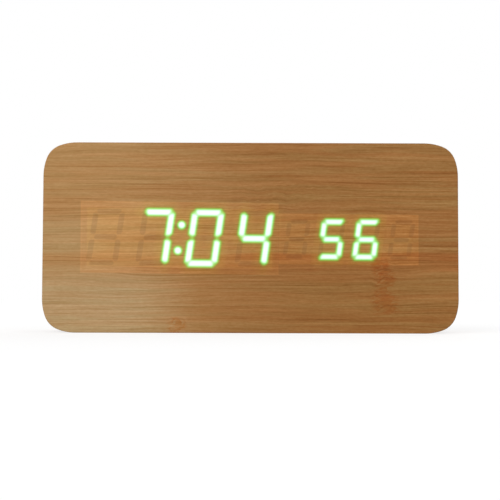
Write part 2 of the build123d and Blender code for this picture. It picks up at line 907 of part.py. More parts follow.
# Battery door: slides along its rails towards the middle of the cover
with BuildPart() as battery_door:
    with BuildSketch(across(door_y)):
        with Locations((bay_x, 0)):
            Rectangle(door_length, door_height)
    extrude(amount=door_thickness - door_play)
    with BuildSketch(across(cover_outer + door_play + tongue_thickness)):
        with Locations((bay_x, 0)):
            Rectangle(door_length, door_height + 2 * tongue_width)
    extrude(amount=tongue_thickness)
    fillet(battery_door.faces().sort_by(Axis.Y)[-1].edges().filter_by(Axis.Z), door_corner)
    grip_x = bay_x - door_length / 2 + arrow_size + grip_spacing * grip_count / 2
    with BuildSketch(across(door_y)):
        with Locations((grip_x, 0)):
            with GridLocations(grip_spacing, 0, grip_count, 1):
                SlotOverall(grip_length, grip_width, rotation=90)
        with Locations((grip_x + grip_spacing * grip_count / 2 + arrow_size, 0)):
            RegularPolygon(arrow_size / 2, 3)
    extrude(amount=grip_groove, mode=Mode.SUBTRACT)
battery_door.part.label = "battery_door"
export_step(battery_door.part, "parts/battery_door.step")

# Cells: the first and the third have the nub at +X, the others at -X
for place, cell_z in enumerate(cell_places):
    nub_side = 1 if place % 2 == 0 else -1
    nub_end = bay_right - plate_thickness if nub_side == 1 else bay_left + plate_thickness
    with BuildPart() as cell:
        cell_plane = Plane(
            (nub_end, cell_y, mid_height + cell_z), x_dir=(0, 1, 0), z_dir=(nub_side, 0, 0)
        )
        with BuildSketch(cell_plane.offset(-cell_length)):
            Circle(cell_radius)
        extrude(amount=cell_length - cell_nub_length)
        fillet(cell.edges(), cell_round)
        with BuildSketch(cell_plane.offset(-cell_nub_length)):
            Circle(cell_nub_radius)
        extrude(amount=cell_nub_length)
    cell.part.label = f"battery_cell_{place + 1}"
    export_step(cell.part, f"parts/battery_cell_{place + 1}.step")

# Contact plates: single ones with a tab at both ends of the circuit, wide ones that link two cells
single_plates = [(1, cell_places[0]), (1, cell_places[-1])]
link_plates = [(-1, (cell_places[place] + cell_places[place + 1]) / 2) for place in (0, cell_count - 2)]
link_plates.append((1, 0))
with BuildPart() as contact_plates:
    for side, plate_z in single_plates + link_plates:
        wall_x = bay_right if side == 1 else bay_left
        span = plate_width if (side, plate_z) in single_plates else plate_width + cell_spacing
        with BuildSketch(Plane.YZ.offset(wall_x)):
            with Locations((bay_floor + plate_height / 2, mid_height + plate_z)):
                Rectangle(plate_height, span)
        extrude(amount=-side * plate_thickness)
    with BuildSketch(Plane.YZ.offset(bay_right)):
        with Locations(*[(cell_y, mid_height + plate_z) for side, plate_z in single_plates]):
            Rectangle(tab_width, plate_thickness)
    extrude(amount=tab_length)
contact_plates.part.label = "contact_plates"
export_step(contact_plates.part, "parts/contact_plates.step")


def spring_points(steps_per_turn):
    """Points and headings along a conical coil about +X that starts at the origin."""
    rise = spring_length - spring_wire
    stations = []
    for step in range(spring_turns * steps_per_turn + 1):
        share = step / (spring_turns * steps_per_turn)
        angle = 2 * pi * spring_turns * share
        radius = spring_foot_radius + (spring_tip_radius - spring_foot_radius) * share
        place = Vector(spring_wire / 2 + rise * share, radius * cos(angle), radius * sin(angle))
        turn_rate = 2 * pi * spring_turns
        narrowing = spring_tip_radius - spring_foot_radius
        heading = Vector(
            rise,
            narrowing * cos(angle) - radius * turn_rate * sin(angle),
            narrowing * sin(angle) + radius * turn_rate * cos(angle),
        )
        stations.append((place, heading.normalized()))
    return stations


def trace_coil(stations):
    """Two tangent arcs between each pair of neighbouring stations."""
    for (start, start_heading), (end, end_heading) in zip(stations, stations[1:]):
        chord = end - start
        both = start_heading + end_heading
        bend = 2 * (1 - start_heading.dot(end_heading))
        reach = (sqrt(chord.dot(both) ** 2 + bend * chord.dot(chord)) - chord.dot(both)) / bend
        first_corner = start + start_heading * reach
        last_corner = end - end_heading * reach
        joint = (first_corner + last_corner) / 2
        TangentArc(start, joint, tangent=start_heading)
        TangentArc(joint, end, tangent=(last_corner - first_corner).normalized())


arcs_per_turn = 4
coil_stations = spring_points(arcs_per_turn)
with BuildPart() as coil:
    with BuildLine() as coil_path:
        trace_coil(coil_stations)
    with BuildSketch(Plane(coil_stations[0][0], z_dir=coil_stations[0][1])):
        Circle(spring_wire / 2)
    sweep(path=coil_path.line)

# The least gap between the coil's own turns, on points three quarters of a turn or more apart
points_per_turn = 36
nearest_share = 0.75
fine_points = [place for place, heading in spring_points(points_per_turn)]
points_apart = round(nearest_share * points_per_turn)
least_gap = min(
    (fine_points[later] - fine_points[earlier]).length
    for earlier in range(len(fine_points))
    for later in range(earlier + points_apart, len(fine_points))
)
print("contact spring: least gap to itself", round(least_gap - spring_wire, 2), "mm")

with BuildPart() as contact_springs:
    for place, cell_z in enumerate(cell_places):
        foot_x = bay_left + plate_thickness if place % 2 == 0 else bay_right - plate_thickness
        turn = 0 if place % 2 == 0 else 180
        with Locations(Location((foot_x, cell_y, mid_height + cell_z), (0, 0, turn))):
            add(coil.part)
contact_springs.part.label = "contact_springs"
export_step(contact_springs.part, "parts/contact_springs.step")

# Control board on the cover's bosses, its switches facing the cover
switch_pin_places = [
    (x + step_x * switch_pin_x / 2, z + step_z * switch_pin_z / 2)
    for x, z in switch_places
    for step_x in (-1, 1)
    for step_z in (-1, 1)
]
with BuildPart() as control_board:
    with BuildSketch(across(control_face)):
        with Locations((control_x, 0)):
            RectangleRounded(control_width, control_height, control_corner)
        with Locations(*control_screw_places):
            Circle(screw_hole, mode=Mode.SUBTRACT)
        with Locations(*switch_pin_places):
            Circle(switch_pin_width, mode=Mode.SUBTRACT)
    extrude(amount=board_thickness)
control_board.part.label = "control_board"
export_step(control_board.part, "parts/control_board.step")

with BuildPart() as control_screws:
    with Locations(
        *[Location(place, (0, 0, 180)) for place in at(control_back, control_screw_places)]
    ):
        add(cross_screw(control_screw_length))
control_screws.part.label = "control_screws"
export_step(control_screws.part, "parts/control_screws.step")

with BuildPart() as switch_bodies:
    with BuildSketch(across(control_face + switch_height)):
        with Locations(*switch_places):
            RectangleRounded(switch_size, switch_size, moulded_round)
    extrude(amount=switch_height)
    with BuildSketch(across(control_face + switch_height)):
        with Locations(*switch_places):
            Circle(plunger_radius + plunger_fit)
    extrude(amount=switch_lid, mode=Mode.SUBTRACT)
    with BuildSketch(across(control_face + switch_height - switch_lid)):
        with Locations(*switch_places):
            Circle(switch_well_radius)
    extrude(amount=switch_height - switch_lid - switch_base, mode=Mode.SUBTRACT)
switch_bodies.part.label = "switch_bodies"
export_step(switch_bodies.part, "parts/switch_bodies.step")

# Switch legs run down beside each body and through the board
with BuildPart() as switch_legs:
    with BuildSketch(across(control_face + switch_base)):
        with Locations(*switch_pin_places):
            Rectangle(switch_pin_thickness, switch_pin_width)
    extrude(amount=switch_pin_length)
switch_legs.part.label = "switch_legs"
export_step(switch_legs.part, "parts/switch_legs.step")

# Buttons, each with the plunger of its switch
switch_top = control_face + switch_height - switch_lid
for button_name, button_place in zip(("set", "up", "down"), switch_places):
    with BuildPart() as button:
        with BuildSketch(across(cover_outer + button_proud)):
            with Locations(button_place):
                Circle(button_radius)
        extrude(amount=cover_outer + button_proud - button_back)
        fillet(button.edges().sort_by(Axis.Y)[-1], button_round)
        with BuildSketch(across(button_back + button_flange_height)):
            with Locations(button_place):
                Circle(button_flange)
        extrude(amount=button_flange_height)
        with BuildSketch(across(cover_outer + button_proud)):
            with Locations(button_place):
                Circle(button_radius - 2 * button_round)
        extrude(amount=button_dish, mode=Mode.SUBTRACT)
    button.part.label = f"{button_name}_button"
    export_step(button.part, f"parts/{button_name}_button.step")

    with BuildPart() as plunger:
        with BuildSketch(across(button_back)):
            with Locations(button_place):
                Circle(plunger_radius)
        extrude(amount=button_back - switch_top + plunger_fit)
        with BuildSketch(across(switch_top - plunger_fit)):
            with Locations(button_place):
                Circle(plunger_foot_radius)
        extrude(amount=plunger_foot_height)
    plunger.part.label = f"{button_name}_plunger"
    export_step(plunger.part, f"parts/{button_name}_plunger.step")

# Power jack: a block on the board with a round collar in the cover, and the pin in its bore
jack_bore_depth = cover_outer - control_face - jack_end
with BuildPart() as power_jack:
    with BuildSketch(across(cover_inner - jack_shoulder_gap)):
        with Locations((jack_x, 0)):
            RectangleRounded(jack_size, jack_size, moulded_round)
    extrude(amount=cover_inner - jack_shoulder_gap - control_face)
    with BuildSketch(across(cover_outer)):
        with Locations((jack_x, 0)):
            Circle(jack_collar_radius)
    extrude(amount=cover_outer - cover_inner + jack_shoulder_gap)
    with BuildSketch(across(cover_outer)):
        with Locations((jack_x, 0)):
            Circle(jack_bore)
    extrude(amount=jack_bore_depth, mode=Mode.SUBTRACT)
power_jack.part.label = "power_jack"
export_step(power_jack.part, "parts/power_jack.step")

with BuildPart() as jack_pin:
    with BuildSketch(across(cover_outer - jack_pin_inset)):
        with Locations((jack_x, 0)):
            Circle(jack_pin_radius)
    extrude(amount=jack_bore_depth - jack_pin_inset)
    fillet(jack_pin.edges().sort_by(Axis.Y)[-1], jack_pin_round_share * jack_pin_radius)
jack_pin.part.label = "jack_pin"
export_step(jack_pin.part, "parts/jack_pin.step")

# Microphone behind its hole and thermistor behind the vent slots, both on short legs
with BuildPart() as microphone:
    with BuildSketch(across(cover_inner - mic_front_gap)):
        with Locations(mic_place):
            Circle(mic_radius)
    extrude(amount=cover_inner - mic_front_gap - control_face - mic_lift)
    fillet(microphone.edges(), moulded_round)
    with BuildSketch(across(control_face + mic_lift)):
        with Locations(mic_place):
            with GridLocations(mic_radius, 0, 2, 1):
                Circle(mic_leg_radius)
    extrude(amount=mic_lift)
microphone.part.label = "microphone"
export_step(microphone.part, "parts/microphone.step")

bead_y = cover_inner - bead_front_gap - bead_radius
with BuildPart() as thermistor:
    with Locations(*at(bead_y, [vent_place])):
        Sphere(bead_radius)
    with BuildSketch(across(bead_y)):
        with Locations(vent_place):
            with GridLocations(bead_leg_gap, 0, 2, 1):
                Circle(bead_leg_radius)
    extrude(amount=bead_y - control_face)
thermistor.part.label = "thermistor"
export_step(thermistor.part, "parts/thermistor.step")


arc_share = 0.45  # of the shorter run, taken up by each arc between two runs


def lead_route(points):
    """A tube along straight runs that are joined by arcs as large as the runs allow."""
    legs = [end - start for start, end in zip(points, points[1:])]
    radii = []
    for before, after in zip(legs, legs[1:]):
        half_turn = radians(before.get_angle(after)) / 2
        radii.append(arc_share * min(before.length, after.length) / tan(half_turn))
    with BuildPart() as lead:
        with BuildLine() as route:
            FilletPolyline(*points, radius=radii)
        with BuildSketch(Plane(points[0], x_dir=(0, 1, 0), z_dir=legs[0])):
            Circle(lead_radius)
        sweep(path=route.line)
    length = route.wire().length
    expected = pi * lead_radius**2 * length
    print(
        "lead: length", round(length, 1), "radii", [round(radius, 1) for radius in radii],
        "volume over section times length", round(lead.part.volume / expected, 4),
    )
    return lead.part


# Signal leads from the display board to the control board
signal_start_x = display_header_x + header_depth / 2 - strip_length
header_mouth_x = control_x - control_width / 2 + strip_length
with BuildPart() as signal_leads:
    for lead in range(signal_lead_count):
        lead_z = mid_height + signal_z + (lead - (signal_lead_count - 1) / 2) * lead_spacing
        first = Vector(signal_start_x, board_back + header_y, lead_z)
        last = Vector(header_mouth_x, control_back - header_y, lead_z)
        run = Vector(signal_lead_run, 0, 0)
        add(lead_route([first, first + run, last - run, last]))
signal_leads.part.label = "signal_leads"
export_step(signal_leads.part, "parts/signal_leads.step")

# Battery leads from the two tabs to the control board, sagging a little
tab_end = bay_right + tab_length
lead_run = Vector(battery_lead_run, 0, 0)
for lead_name, cell_z, pin_side in (("red", cell_places[0], 1), ("black", cell_places[-1], -1)):
    first = Vector(tab_end, cell_y, mid_height + cell_z)
    last = Vector(
        header_mouth_x, control_back - header_y, mid_height + battery_z + pin_side * lead_spacing / 2
    )
    middle = (first + last) / 2 - Vector(0, battery_lead_sag, battery_lead_sag)
    with BuildPart() as battery_lead:
        add(lead_route([first, first + lead_run, middle, last - lead_run, last]))
    battery_lead.part.label = f"{lead_name}_battery_lead"
    export_step(battery_lead.part, f"parts/{lead_name}_battery_lead.step")
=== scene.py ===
import bmesh
import bpy
import math
from mathutils import Matrix, Vector


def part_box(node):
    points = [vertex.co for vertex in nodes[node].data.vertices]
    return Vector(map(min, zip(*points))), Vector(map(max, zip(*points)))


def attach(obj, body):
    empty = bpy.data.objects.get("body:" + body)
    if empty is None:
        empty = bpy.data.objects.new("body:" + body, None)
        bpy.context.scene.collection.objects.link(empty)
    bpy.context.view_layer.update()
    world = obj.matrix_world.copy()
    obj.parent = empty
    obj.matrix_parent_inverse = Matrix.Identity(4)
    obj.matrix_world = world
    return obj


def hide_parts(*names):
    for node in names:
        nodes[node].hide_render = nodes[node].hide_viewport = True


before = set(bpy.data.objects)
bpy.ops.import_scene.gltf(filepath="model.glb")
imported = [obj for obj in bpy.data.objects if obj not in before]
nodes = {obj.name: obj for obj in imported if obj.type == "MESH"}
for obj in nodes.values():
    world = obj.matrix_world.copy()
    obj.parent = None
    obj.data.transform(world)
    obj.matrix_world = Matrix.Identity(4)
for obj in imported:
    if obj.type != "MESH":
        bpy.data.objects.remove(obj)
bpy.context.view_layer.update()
mm = 0.001  # the scene is in metres, the sizes below are in millimetres
print("frame:", len(nodes), "nodes")


def addObject(name, data):
    thing = bpy.data.objects.new(name, data)
    bpy.context.collection.objects.link(thing)
    return thing


def takeMesh(name, shape):  # makes a mesh of a bmesh and frees it
    mesh = bpy.data.meshes.new(name)
    shape.to_mesh(mesh)
    shape.free()
    return mesh


# Camera, a little below the middle of the block and tipped up
cameraSetup = {
    "lens": 73.17,  # on a 36 mm sensor
    "nearest": 10,
    "distance": 500,  # from the front face
    "aside": -0.93,
    "height": 18.5,
    "tipUp": 2.56,  # degrees
    "turnRight": 0.076,
    "roll": 0.172,
}


def makeCamera(setup):
    data = bpy.data.cameras.new("camera")
    data.lens = setup["lens"]
    data.clip_start = setup["nearest"] * mm
    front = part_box("front_veneer")[0].y
    place = Vector((setup["aside"] * mm, front - setup["distance"] * mm, setup["height"] * mm))
    turn = Matrix.Rotation(-math.radians(setup["turnRight"]), 4, "Z")
    tip = Matrix.Rotation(math.radians(90 + setup["tipUp"]), 4, "X")
    roll = Matrix.Rotation(math.radians(setup["roll"]), 4, "Z")
    camera = addObject("camera", data)
    camera.matrix_world = Matrix.Translation(place) @ turn @ tip @ roll
    bpy.context.scene.camera = camera


makeCamera(cameraSetup)

# Studio: broad distant lamps, a pale floor and a white surround
lampSetup = {  # the direction that the light comes from, its spread in degrees, and its strength
    "key": {"from": (-0.55, -0.85, 0.70), "spread": 50, "strength": 1.35},
    "fill": {"from": (0.85, -0.60, 0.45), "spread": 70, "strength": 0.45},
    "rear": {"from": (0.35, 0.90, 0.60), "spread": 60, "strength": 1.00},
}
studioSetup = {
    "ambient": 0.42,  # of white, from all sides
    "floorSize": 4000,
    "floorTone": 0.80,
    "floorPlain": 0.60,  # share of plain white in what the eye sees of the floor
    "plainStrength": 1.22,
}


def makeLamps(setup):
    for name, lamp in setup.items():
        data = bpy.data.lights.new(name, "SUN")
        data.angle = math.radians(lamp["spread"])
        data.energy = lamp["strength"]
        light = addObject(name, data)
        light.rotation_euler = Vector(lamp["from"]).to_track_quat("Z", "Y").to_euler()


# Noise runs around 0.5: the values that count as its low and high ends
broadEnds = (0.25, 0.75)
middleEnds = (0.3, 0.7)
narrowEnds = (0.35, 0.65)


# Short forms for shader nodes
def feed(tree, socket, value):
    if isinstance(value, bpy.types.NodeSocket):
        tree.links.new(value, socket)
    else:
        socket.default_value = value


def addNode(tree, kind, inputs=(), **settings):
    node = tree.nodes.new("ShaderNode" + kind)
    for key, value in settings.items():
        setattr(node, key, value)
    for key, value in dict(inputs).items():
        feed(tree, node.inputs[key], value)
    return node


def calc(tree, operation, *values):
    return addNode(tree, "Math", enumerate(values), operation=operation).outputs[0]


def vectorCalc(tree, operation, *values):
    return addNode(tree, "VectorMath", enumerate(values), operation=operation).outputs[0]


def product(tree, value, *others):
    for other in others:
        value = calc(tree, "MULTIPLY", value, other)
    return value


def minus(tree, first, second):
    return calc(tree, "SUBTRACT", first, second)


def absolute(tree, value):  # without its sign
    return calc(tree, "ABSOLUTE", value)


def apart(tree, first, second):  # how far two values are from each other
    return absolute(tree, minus(tree, first, second))


def between(tree, value, low, high):
    return product(tree, calc(tree, "GREATER_THAN", value, low), calc(tree, "LESS_THAN", value, high))


def scale(tree, vector, share):
    return addNode(tree, "VectorMath", {0: vector, "Scale": share}, operation="SCALE").outputs[0]


def placeParts(tree, place):
    return addNode(tree, "SeparateXYZ", {0: place}).outputs


def fitRange(tree, value, start, end, low=0.0, high=1.0, steps="LINEAR"):
    inputs = {"Value": value, "From Min": start, "From Max": end, "To Min": low, "To Max": high}
    return addNode(tree, "MapRange", inputs, interpolation_type=steps).outputs[0]


def ease(tree, value, start, end):  # a smooth step from 0 to 1
    return fitRange(tree, value, start, end, steps="SMOOTHSTEP")


def within(tree, value, edge, soft):  # 1 up to the edge and 0 past it
    return ease(tree, value, edge + soft, edge - soft)


def beyond(tree, value, edge, soft):  # 0 up to the edge and 1 past it
    return ease(tree, value, edge - soft, edge + soft)


def blend(tree, factor, first, second, mode="MIX"):
    inputs = {0: factor, 6: first, 7: second}
    return addNode(tree, "Mix", inputs, data_type="RGBA", blend_type=mode).outputs[2]


def gainWhere(tree, factor, tone, gain):  # multiplies the tone by a gain, as far as the factor goes
    return blend(tree, factor, tone, (*gain, 1), "MULTIPLY")


def mixValue(tree, factor, first, second):
    return addNode(tree, "Mix", {0: factor, 2: first, 3: second}, data_type="FLOAT").outputs[0]


def noise(tree, place, spot, detail=3.0, roughness=0.55, distortion=0.0):
    sizes = spot if isinstance(spot, tuple) else (spot,) * 3  # of a spot in mm
    inputs = {"Vector": vectorCalc(tree, "DIVIDE", place, sizes), "Scale": 1.0, "Detail": detail,
              "Roughness": roughness, "Distortion": distortion}
    return addNode(tree, "TexNoise", inputs).outputs[0]


def sway(tree, spots, reach):  # noise as a shift to either side
    return product(tree, minus(tree, spots, 0.5), reach)


def cells(tree, place, size, **settings):
    vector = vectorCalc(tree, "DIVIDE", place, (size,) * 3)
    return addNode(tree, "TexVoronoi", {"Vector": vector}, **settings).outputs


def ramp(tree, value, stops, interpolation="LINEAR"):
    node = addNode(tree, "ValToRGB", {0: value})
    node.color_ramp.interpolation = interpolation
    points = node.color_ramp.elements
    points.remove(points[1])
    for index, (place, tone) in enumerate(stops):
        point = points[0] if index == 0 else points.new(place)
        point.position = place
        point.color = tone
    return node.outputs[0]


def channels(tree, tone):
    return addNode(tree, "SeparateColor", {0: tone}).outputs


def colour(red, green, blue):  # from screen values, 0 to 255
    shares = [value / 255 for value in (red, green, blue)]
    return tuple(s / 12.92 if s <= 0.04045 else ((s + 0.055) / 1.055) ** 2.4 for s in shares) + (1.0,)


def bumpNormal(tree, height, depth):  # depth in mm
    inputs = {"Height": height, "Distance": depth * mm, "Strength": 1.0}
    return addNode(tree, "Bump", inputs).outputs[0]


def newMaterial(name, roughness=0.5, metallic=0.0, specular=0.5):  # gives the place in mm last
    material = bpy.data.materials.new(name)
    material.use_nodes = True
    tree = material.node_tree
    shader = tree.nodes["Principled BSDF"]
    shader.inputs["Roughness"].default_value = roughness
    shader.inputs["Metallic"].default_value = metallic
    shader.inputs["Specular IOR Level"].default_value = specular
    place = addNode(tree, "TexCoord").outputs["Object"]
    return material, tree, shader, scale(tree, place, 1 / mm)


def dress(material, *names):  # gives CAD nodes a material
    for name in names:
        for slot in nodes[name].material_slots:
            slot.material = material


def middleAndHalf(node):  # the middle of a node's box and half its size, in mm
    low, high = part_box(node)
    return (low + high) / 2 / mm, (high - low) / 2 / mm


def seenWhite(tree):  # 1 where the eye, a gloss or a glass looks straight at the surface
    path = addNode(tree, "LightPath").outputs
    glossy = calc(tree, "MAXIMUM", path["Is Glossy Ray"], path["Is Transmission Ray"])
    return calc(tree, "MAXIMUM", path["Is Camera Ray"], glossy)


def makeStudio(setup):
    world = bpy.data.worlds.new("surround")
    world.use_nodes = True
    bpy.context.scene.world = world
    tree = world.node_tree
    ambient = tree.nodes["Background"]
    ambient.inputs["Color"].default_value = (1, 1, 1, 1)
    ambient.inputs["Strength"].default_value = setup["ambient"]
    white = addNode(tree, "Background", {"Color": (1, 1, 1, 1), "Strength": 1.0})
    mixed = addNode(tree, "MixShader", {0: seenWhite(tree), 1: ambient.outputs[0], 2: white.outputs[0]})
    tree.links.new(mixed.outputs[0], tree.nodes["World Output"].inputs[0])

    floorShape = bmesh.new()
    bmesh.ops.create_grid(floorShape, x_segments=1, y_segments=1, size=setup["floorSize"] * mm / 2)
    floor = addObject("floor", takeMesh("floor", floorShape))
    material, tree, shader, place = newMaterial("paleFloor", roughness=0.9, specular=0.0)
    tone = setup["floorTone"]
    shader.inputs["Base Color"].default_value = (tone, tone, tone, 1)
    plain = addNode(tree, "Emission", {"Color": (1, 1, 1, 1), "Strength": setup["plainStrength"]})
    share = product(tree, seenWhite(tree), setup["floorPlain"])
    mixed = addNode(tree, "MixShader", {0: share, 1: shader.outputs[0], 2: plain.outputs[0]})
    tree.links.new(mixed.outputs[0], tree.nodes["Material Output"].inputs[0])
    floor.data.materials.append(material)


makeLamps(lampSetup)
makeStudio(studioSetup)
bpy.context.scene.view_settings.view_transform = "Standard"
print("studio: camera, lamps and floor")

# Bamboo veneer: fibres along the sheet, thin dark lines, and on the front broad bands, growth marks, paler
# tones at the left that are partly a painted sheen, and painted shade on the rounded edge
bamboo = {
    "tone": (163, 115, 63),
    "tonesAndSheen": (  # tones over it on the front, and from where to where, across and up, each comes in; the paler left and the palest low left are partly the wood's own tone and partly a painted sheen
        {"tone": (161, 114, 61), "across": (0, 50), "up": (38, 19)},
        {"tone": (185, 141, 89), "across": (28, -82)},
        {"tone": (191, 159, 115), "across": (-22, -62), "up": (38, 19)},
    ),
    "bands": (  # gains on the front, and the heights where each comes in, is full, fades and ends
        {"across": (-105, -10), "up": (27.0, 33.0, 38.0, 39.6), "gain": (1.0, 0.86, 0.77)},
        {"across": (-66, -90), "up": (38.0, 40.5, 54.0, 60.0), "gain": (1.05, 1.17, 1.34)},
        {"across": (0, 30), "up": (61.5, 64.0, 70.0, 73.0), "gain": (1.02, 1.08, 1.12)},
    ),
    "bandEdge": (45, 5, 4.5),  # length, thickness and height of the waves at their edges
    "wave": (70, 14, 4.5),  # and of the fibres' own waves
    "fibreColour": (0.32, 0.48, 0.81),  # how far red, green and blue follow the fibres: dark ones are redder
    "lightShare": 0.55,  # light fibres stand out less than dark ones
    "fibres": (  # length and thickness in mm, detail, and strength
        (95, 5.0, 2, 0.14),
        (60, 1.6, 2, 0.12),
        (42, 0.90, 2, 0.58),
        (7, 0.55, 2, 0.26),
        (2.2, 0.8, 1, 0.22),
    ),
    "darkLines": (  # length and thickness in mm, detail, strength, and where they begin and are full
        (75, 0.80, 1, 0.52, 0.60, 0.69),
        (10, 0.45, 1, 0.32, 0.64, 0.74),
    ),
    "redStreak": (70, 3.1),  # length and thickness
    "redEnds": (0.40, 0.60),
    "redGain": (1.02, 0.97, 0.92),
    "oliveGain": (0.98, 1.02, 1.00),  # between the red streaks
    "contrast": (0.85, 1.3),  # of the fibres, from the left to the right of the front
    "contrastAcross": (-70, 60),
    "edgeShadeGain": (0.62, 0.60, 0.60),  # painted shade on the rounded edge of the sheet
    "edgeShadeBehind": (0.05, 0.4),  # behind the face, from where to where the painted shade comes in
    "fibreDepth": 0.012,
    "roughness": (0.56, 0.42),
    "specular": 0.2,
}
growthMarks = (  # on the front: place, half width and half height, the height of the ruffles, and the stain
    {
        "x": 65.0, "z": 23.0, "wide": 9.0, "tall": 15.5, "ruffle": 5.5, "stain": 1.0,
        "line": (0.0, 3.0, -0.5, 0.0, 2.5, 1.0, -1.5, -0.5),  # from the bottom to the top, how far aside
        "spread": (4.0, 6.5, 7.0, 4.0, 3.6, 6.0, 4.0, 2.5),  # and how wide it is there
    },
    {
        "x": -37.0, "z": 3.5, "wide": 8.5, "tall": 5.0, "ruffle": 3.5, "stain": 0.85,
        "line": (-1.5, 0.0, 1.5, -0.5),
        "spread": (6.0, 5.0, 4.0, 3.0),
    },
    {"x": 12.0, "z": 66.5, "wide": 36.0, "tall": 8.0, "ruffle": 3.0},
)
ruffling = {  # the same in all growth marks
    "wideEnds": (1.0, 0.2), "tallEnds": (1.0, 0.7),  # in shares of the half sizes: begins, is full
    "swirl": (6.5, 6.5, 5.0),  # size of the swirls
    "farthest": 10.0,  # aside, and the widest
    "lineSway": 7.0, "lineEnds": (0.6, 0.1), "lineFade": (0.8, 0.3),  # from low to high swirls
    "wisp": (4.5, 4.5, 2.0), "wispBend": 0.6, "wispEnds": (0.12, 0.03), "wispReach": (1.3, 0.5),
    "gain": (0.95, 0.71, 0.48),
}


def fibreNoise(tree, place, across, length, thick, **settings):  # spots drawn out along the sheet
    spot = (length, thick, length) if across == "Y" else (length, length, thick)
    return noise(tree, place, spot, **settings)


def fibreGain(amount):
    return tuple(math.exp(amount * share) for share in bamboo["fibreColour"]) + (1,)


# Gains for the colour, and the height and the roughness of the fibres
def bambooPattern(tree, place, across):
    length, thick, high = bamboo["wave"]
    wave = sway(tree, fibreNoise(tree, place, across, length, thick, detail=1), high)
    place = vectorCalc(tree, "ADD", place, addNode(tree, "CombineXYZ", {across: wave}).outputs[0])
    streaks = fibreNoise(tree, place, across, *bamboo["redStreak"], detail=3, roughness=0.6, distortion=0.3)
    redGain, oliveGain = [(*bamboo[key], 1) for key in ("redGain", "oliveGain")]
    gain = blend(tree, ease(tree, streaks, *bamboo["redEnds"]), oliveGain, redGain)
    height = 0.0
    for length, thick, detail, strength in bamboo["fibres"]:
        fibres = fibreNoise(tree, place, across, length, thick, detail=detail, roughness=0.6)
        lightGain = fibreGain(strength * bamboo["lightShare"])
        change = blend(tree, fitRange(tree, fibres, *broadEnds), fibreGain(-strength), lightGain)
        gain = blend(tree, 1.0, gain, change, "MULTIPLY")
        height = calc(tree, "ADD", height, fibres)
    for length, thick, detail, strength, start, full in bamboo["darkLines"]:
        lines = fibreNoise(tree, place, across, length, thick, detail=detail)
        gain = blend(tree, ease(tree, lines, start, full), gain, fibreGain(-strength), "MULTIPLY")
    rough = fitRange(tree, streaks, *middleEnds, *bamboo["roughness"])
    return gain, height, rough


# A joint of the stem: how far it ruffles the fibres, and how much of its reddish stain shows
def growthMark(tree, place, mark):
    x, y, z = placeParts(tree, place)
    across = minus(tree, x, mark["x"])
    along = minus(tree, z, mark["z"])
    near = calc(tree, "DIVIDE", absolute(tree, across), mark["wide"])
    high = calc(tree, "DIVIDE", absolute(tree, along), mark["tall"])
    high = ease(tree, high, *ruffling["tallEnds"])
    swirl = noise(tree, place, ruffling["swirl"], detail=2)
    ruffle = product(tree, sway(tree, swirl, mark["ruffle"]), ease(tree, near, *ruffling["wideEnds"]), high)
    if "stain" not in mark:
        return ruffle, None
    rise = fitRange(tree, along, -mark["tall"], mark["tall"])
    farthest, last = ruffling["farthest"], len(mark["line"]) - 1
    stops = [
        (index / last, (0.5 + aside / farthest / 2, wide / farthest, 0, 1))
        for index, (aside, wide) in enumerate(zip(mark["line"], mark["spread"]))
    ]
    aside, wide = channels(tree, ramp(tree, rise, stops, "B_SPLINE"))[:2]
    line = minus(tree, across, fitRange(tree, aside, 0, 1, -farthest, farthest))
    line = calc(tree, "ADD", line, sway(tree, swirl, ruffling["lineSway"]))
    line = calc(tree, "DIVIDE", absolute(tree, line), product(tree, wide, farthest))
    wisps = noise(tree, place, ruffling["wisp"], detail=1, distortion=ruffling["wispBend"])
    wisps = ease(tree, apart(tree, wisps, 0.5), *ruffling["wispEnds"])
    wisps = product(tree, wisps, ease(tree, line, *ruffling["wispReach"]))
    fade = fitRange(tree, swirl, *narrowEnds, *ruffling["lineFade"])
    line = product(tree, ease(tree, line, *ruffling["lineEnds"]), fade)
    return ruffle, product(tree, calc(tree, "MAXIMUM", line, wisps), high, mark["stain"])


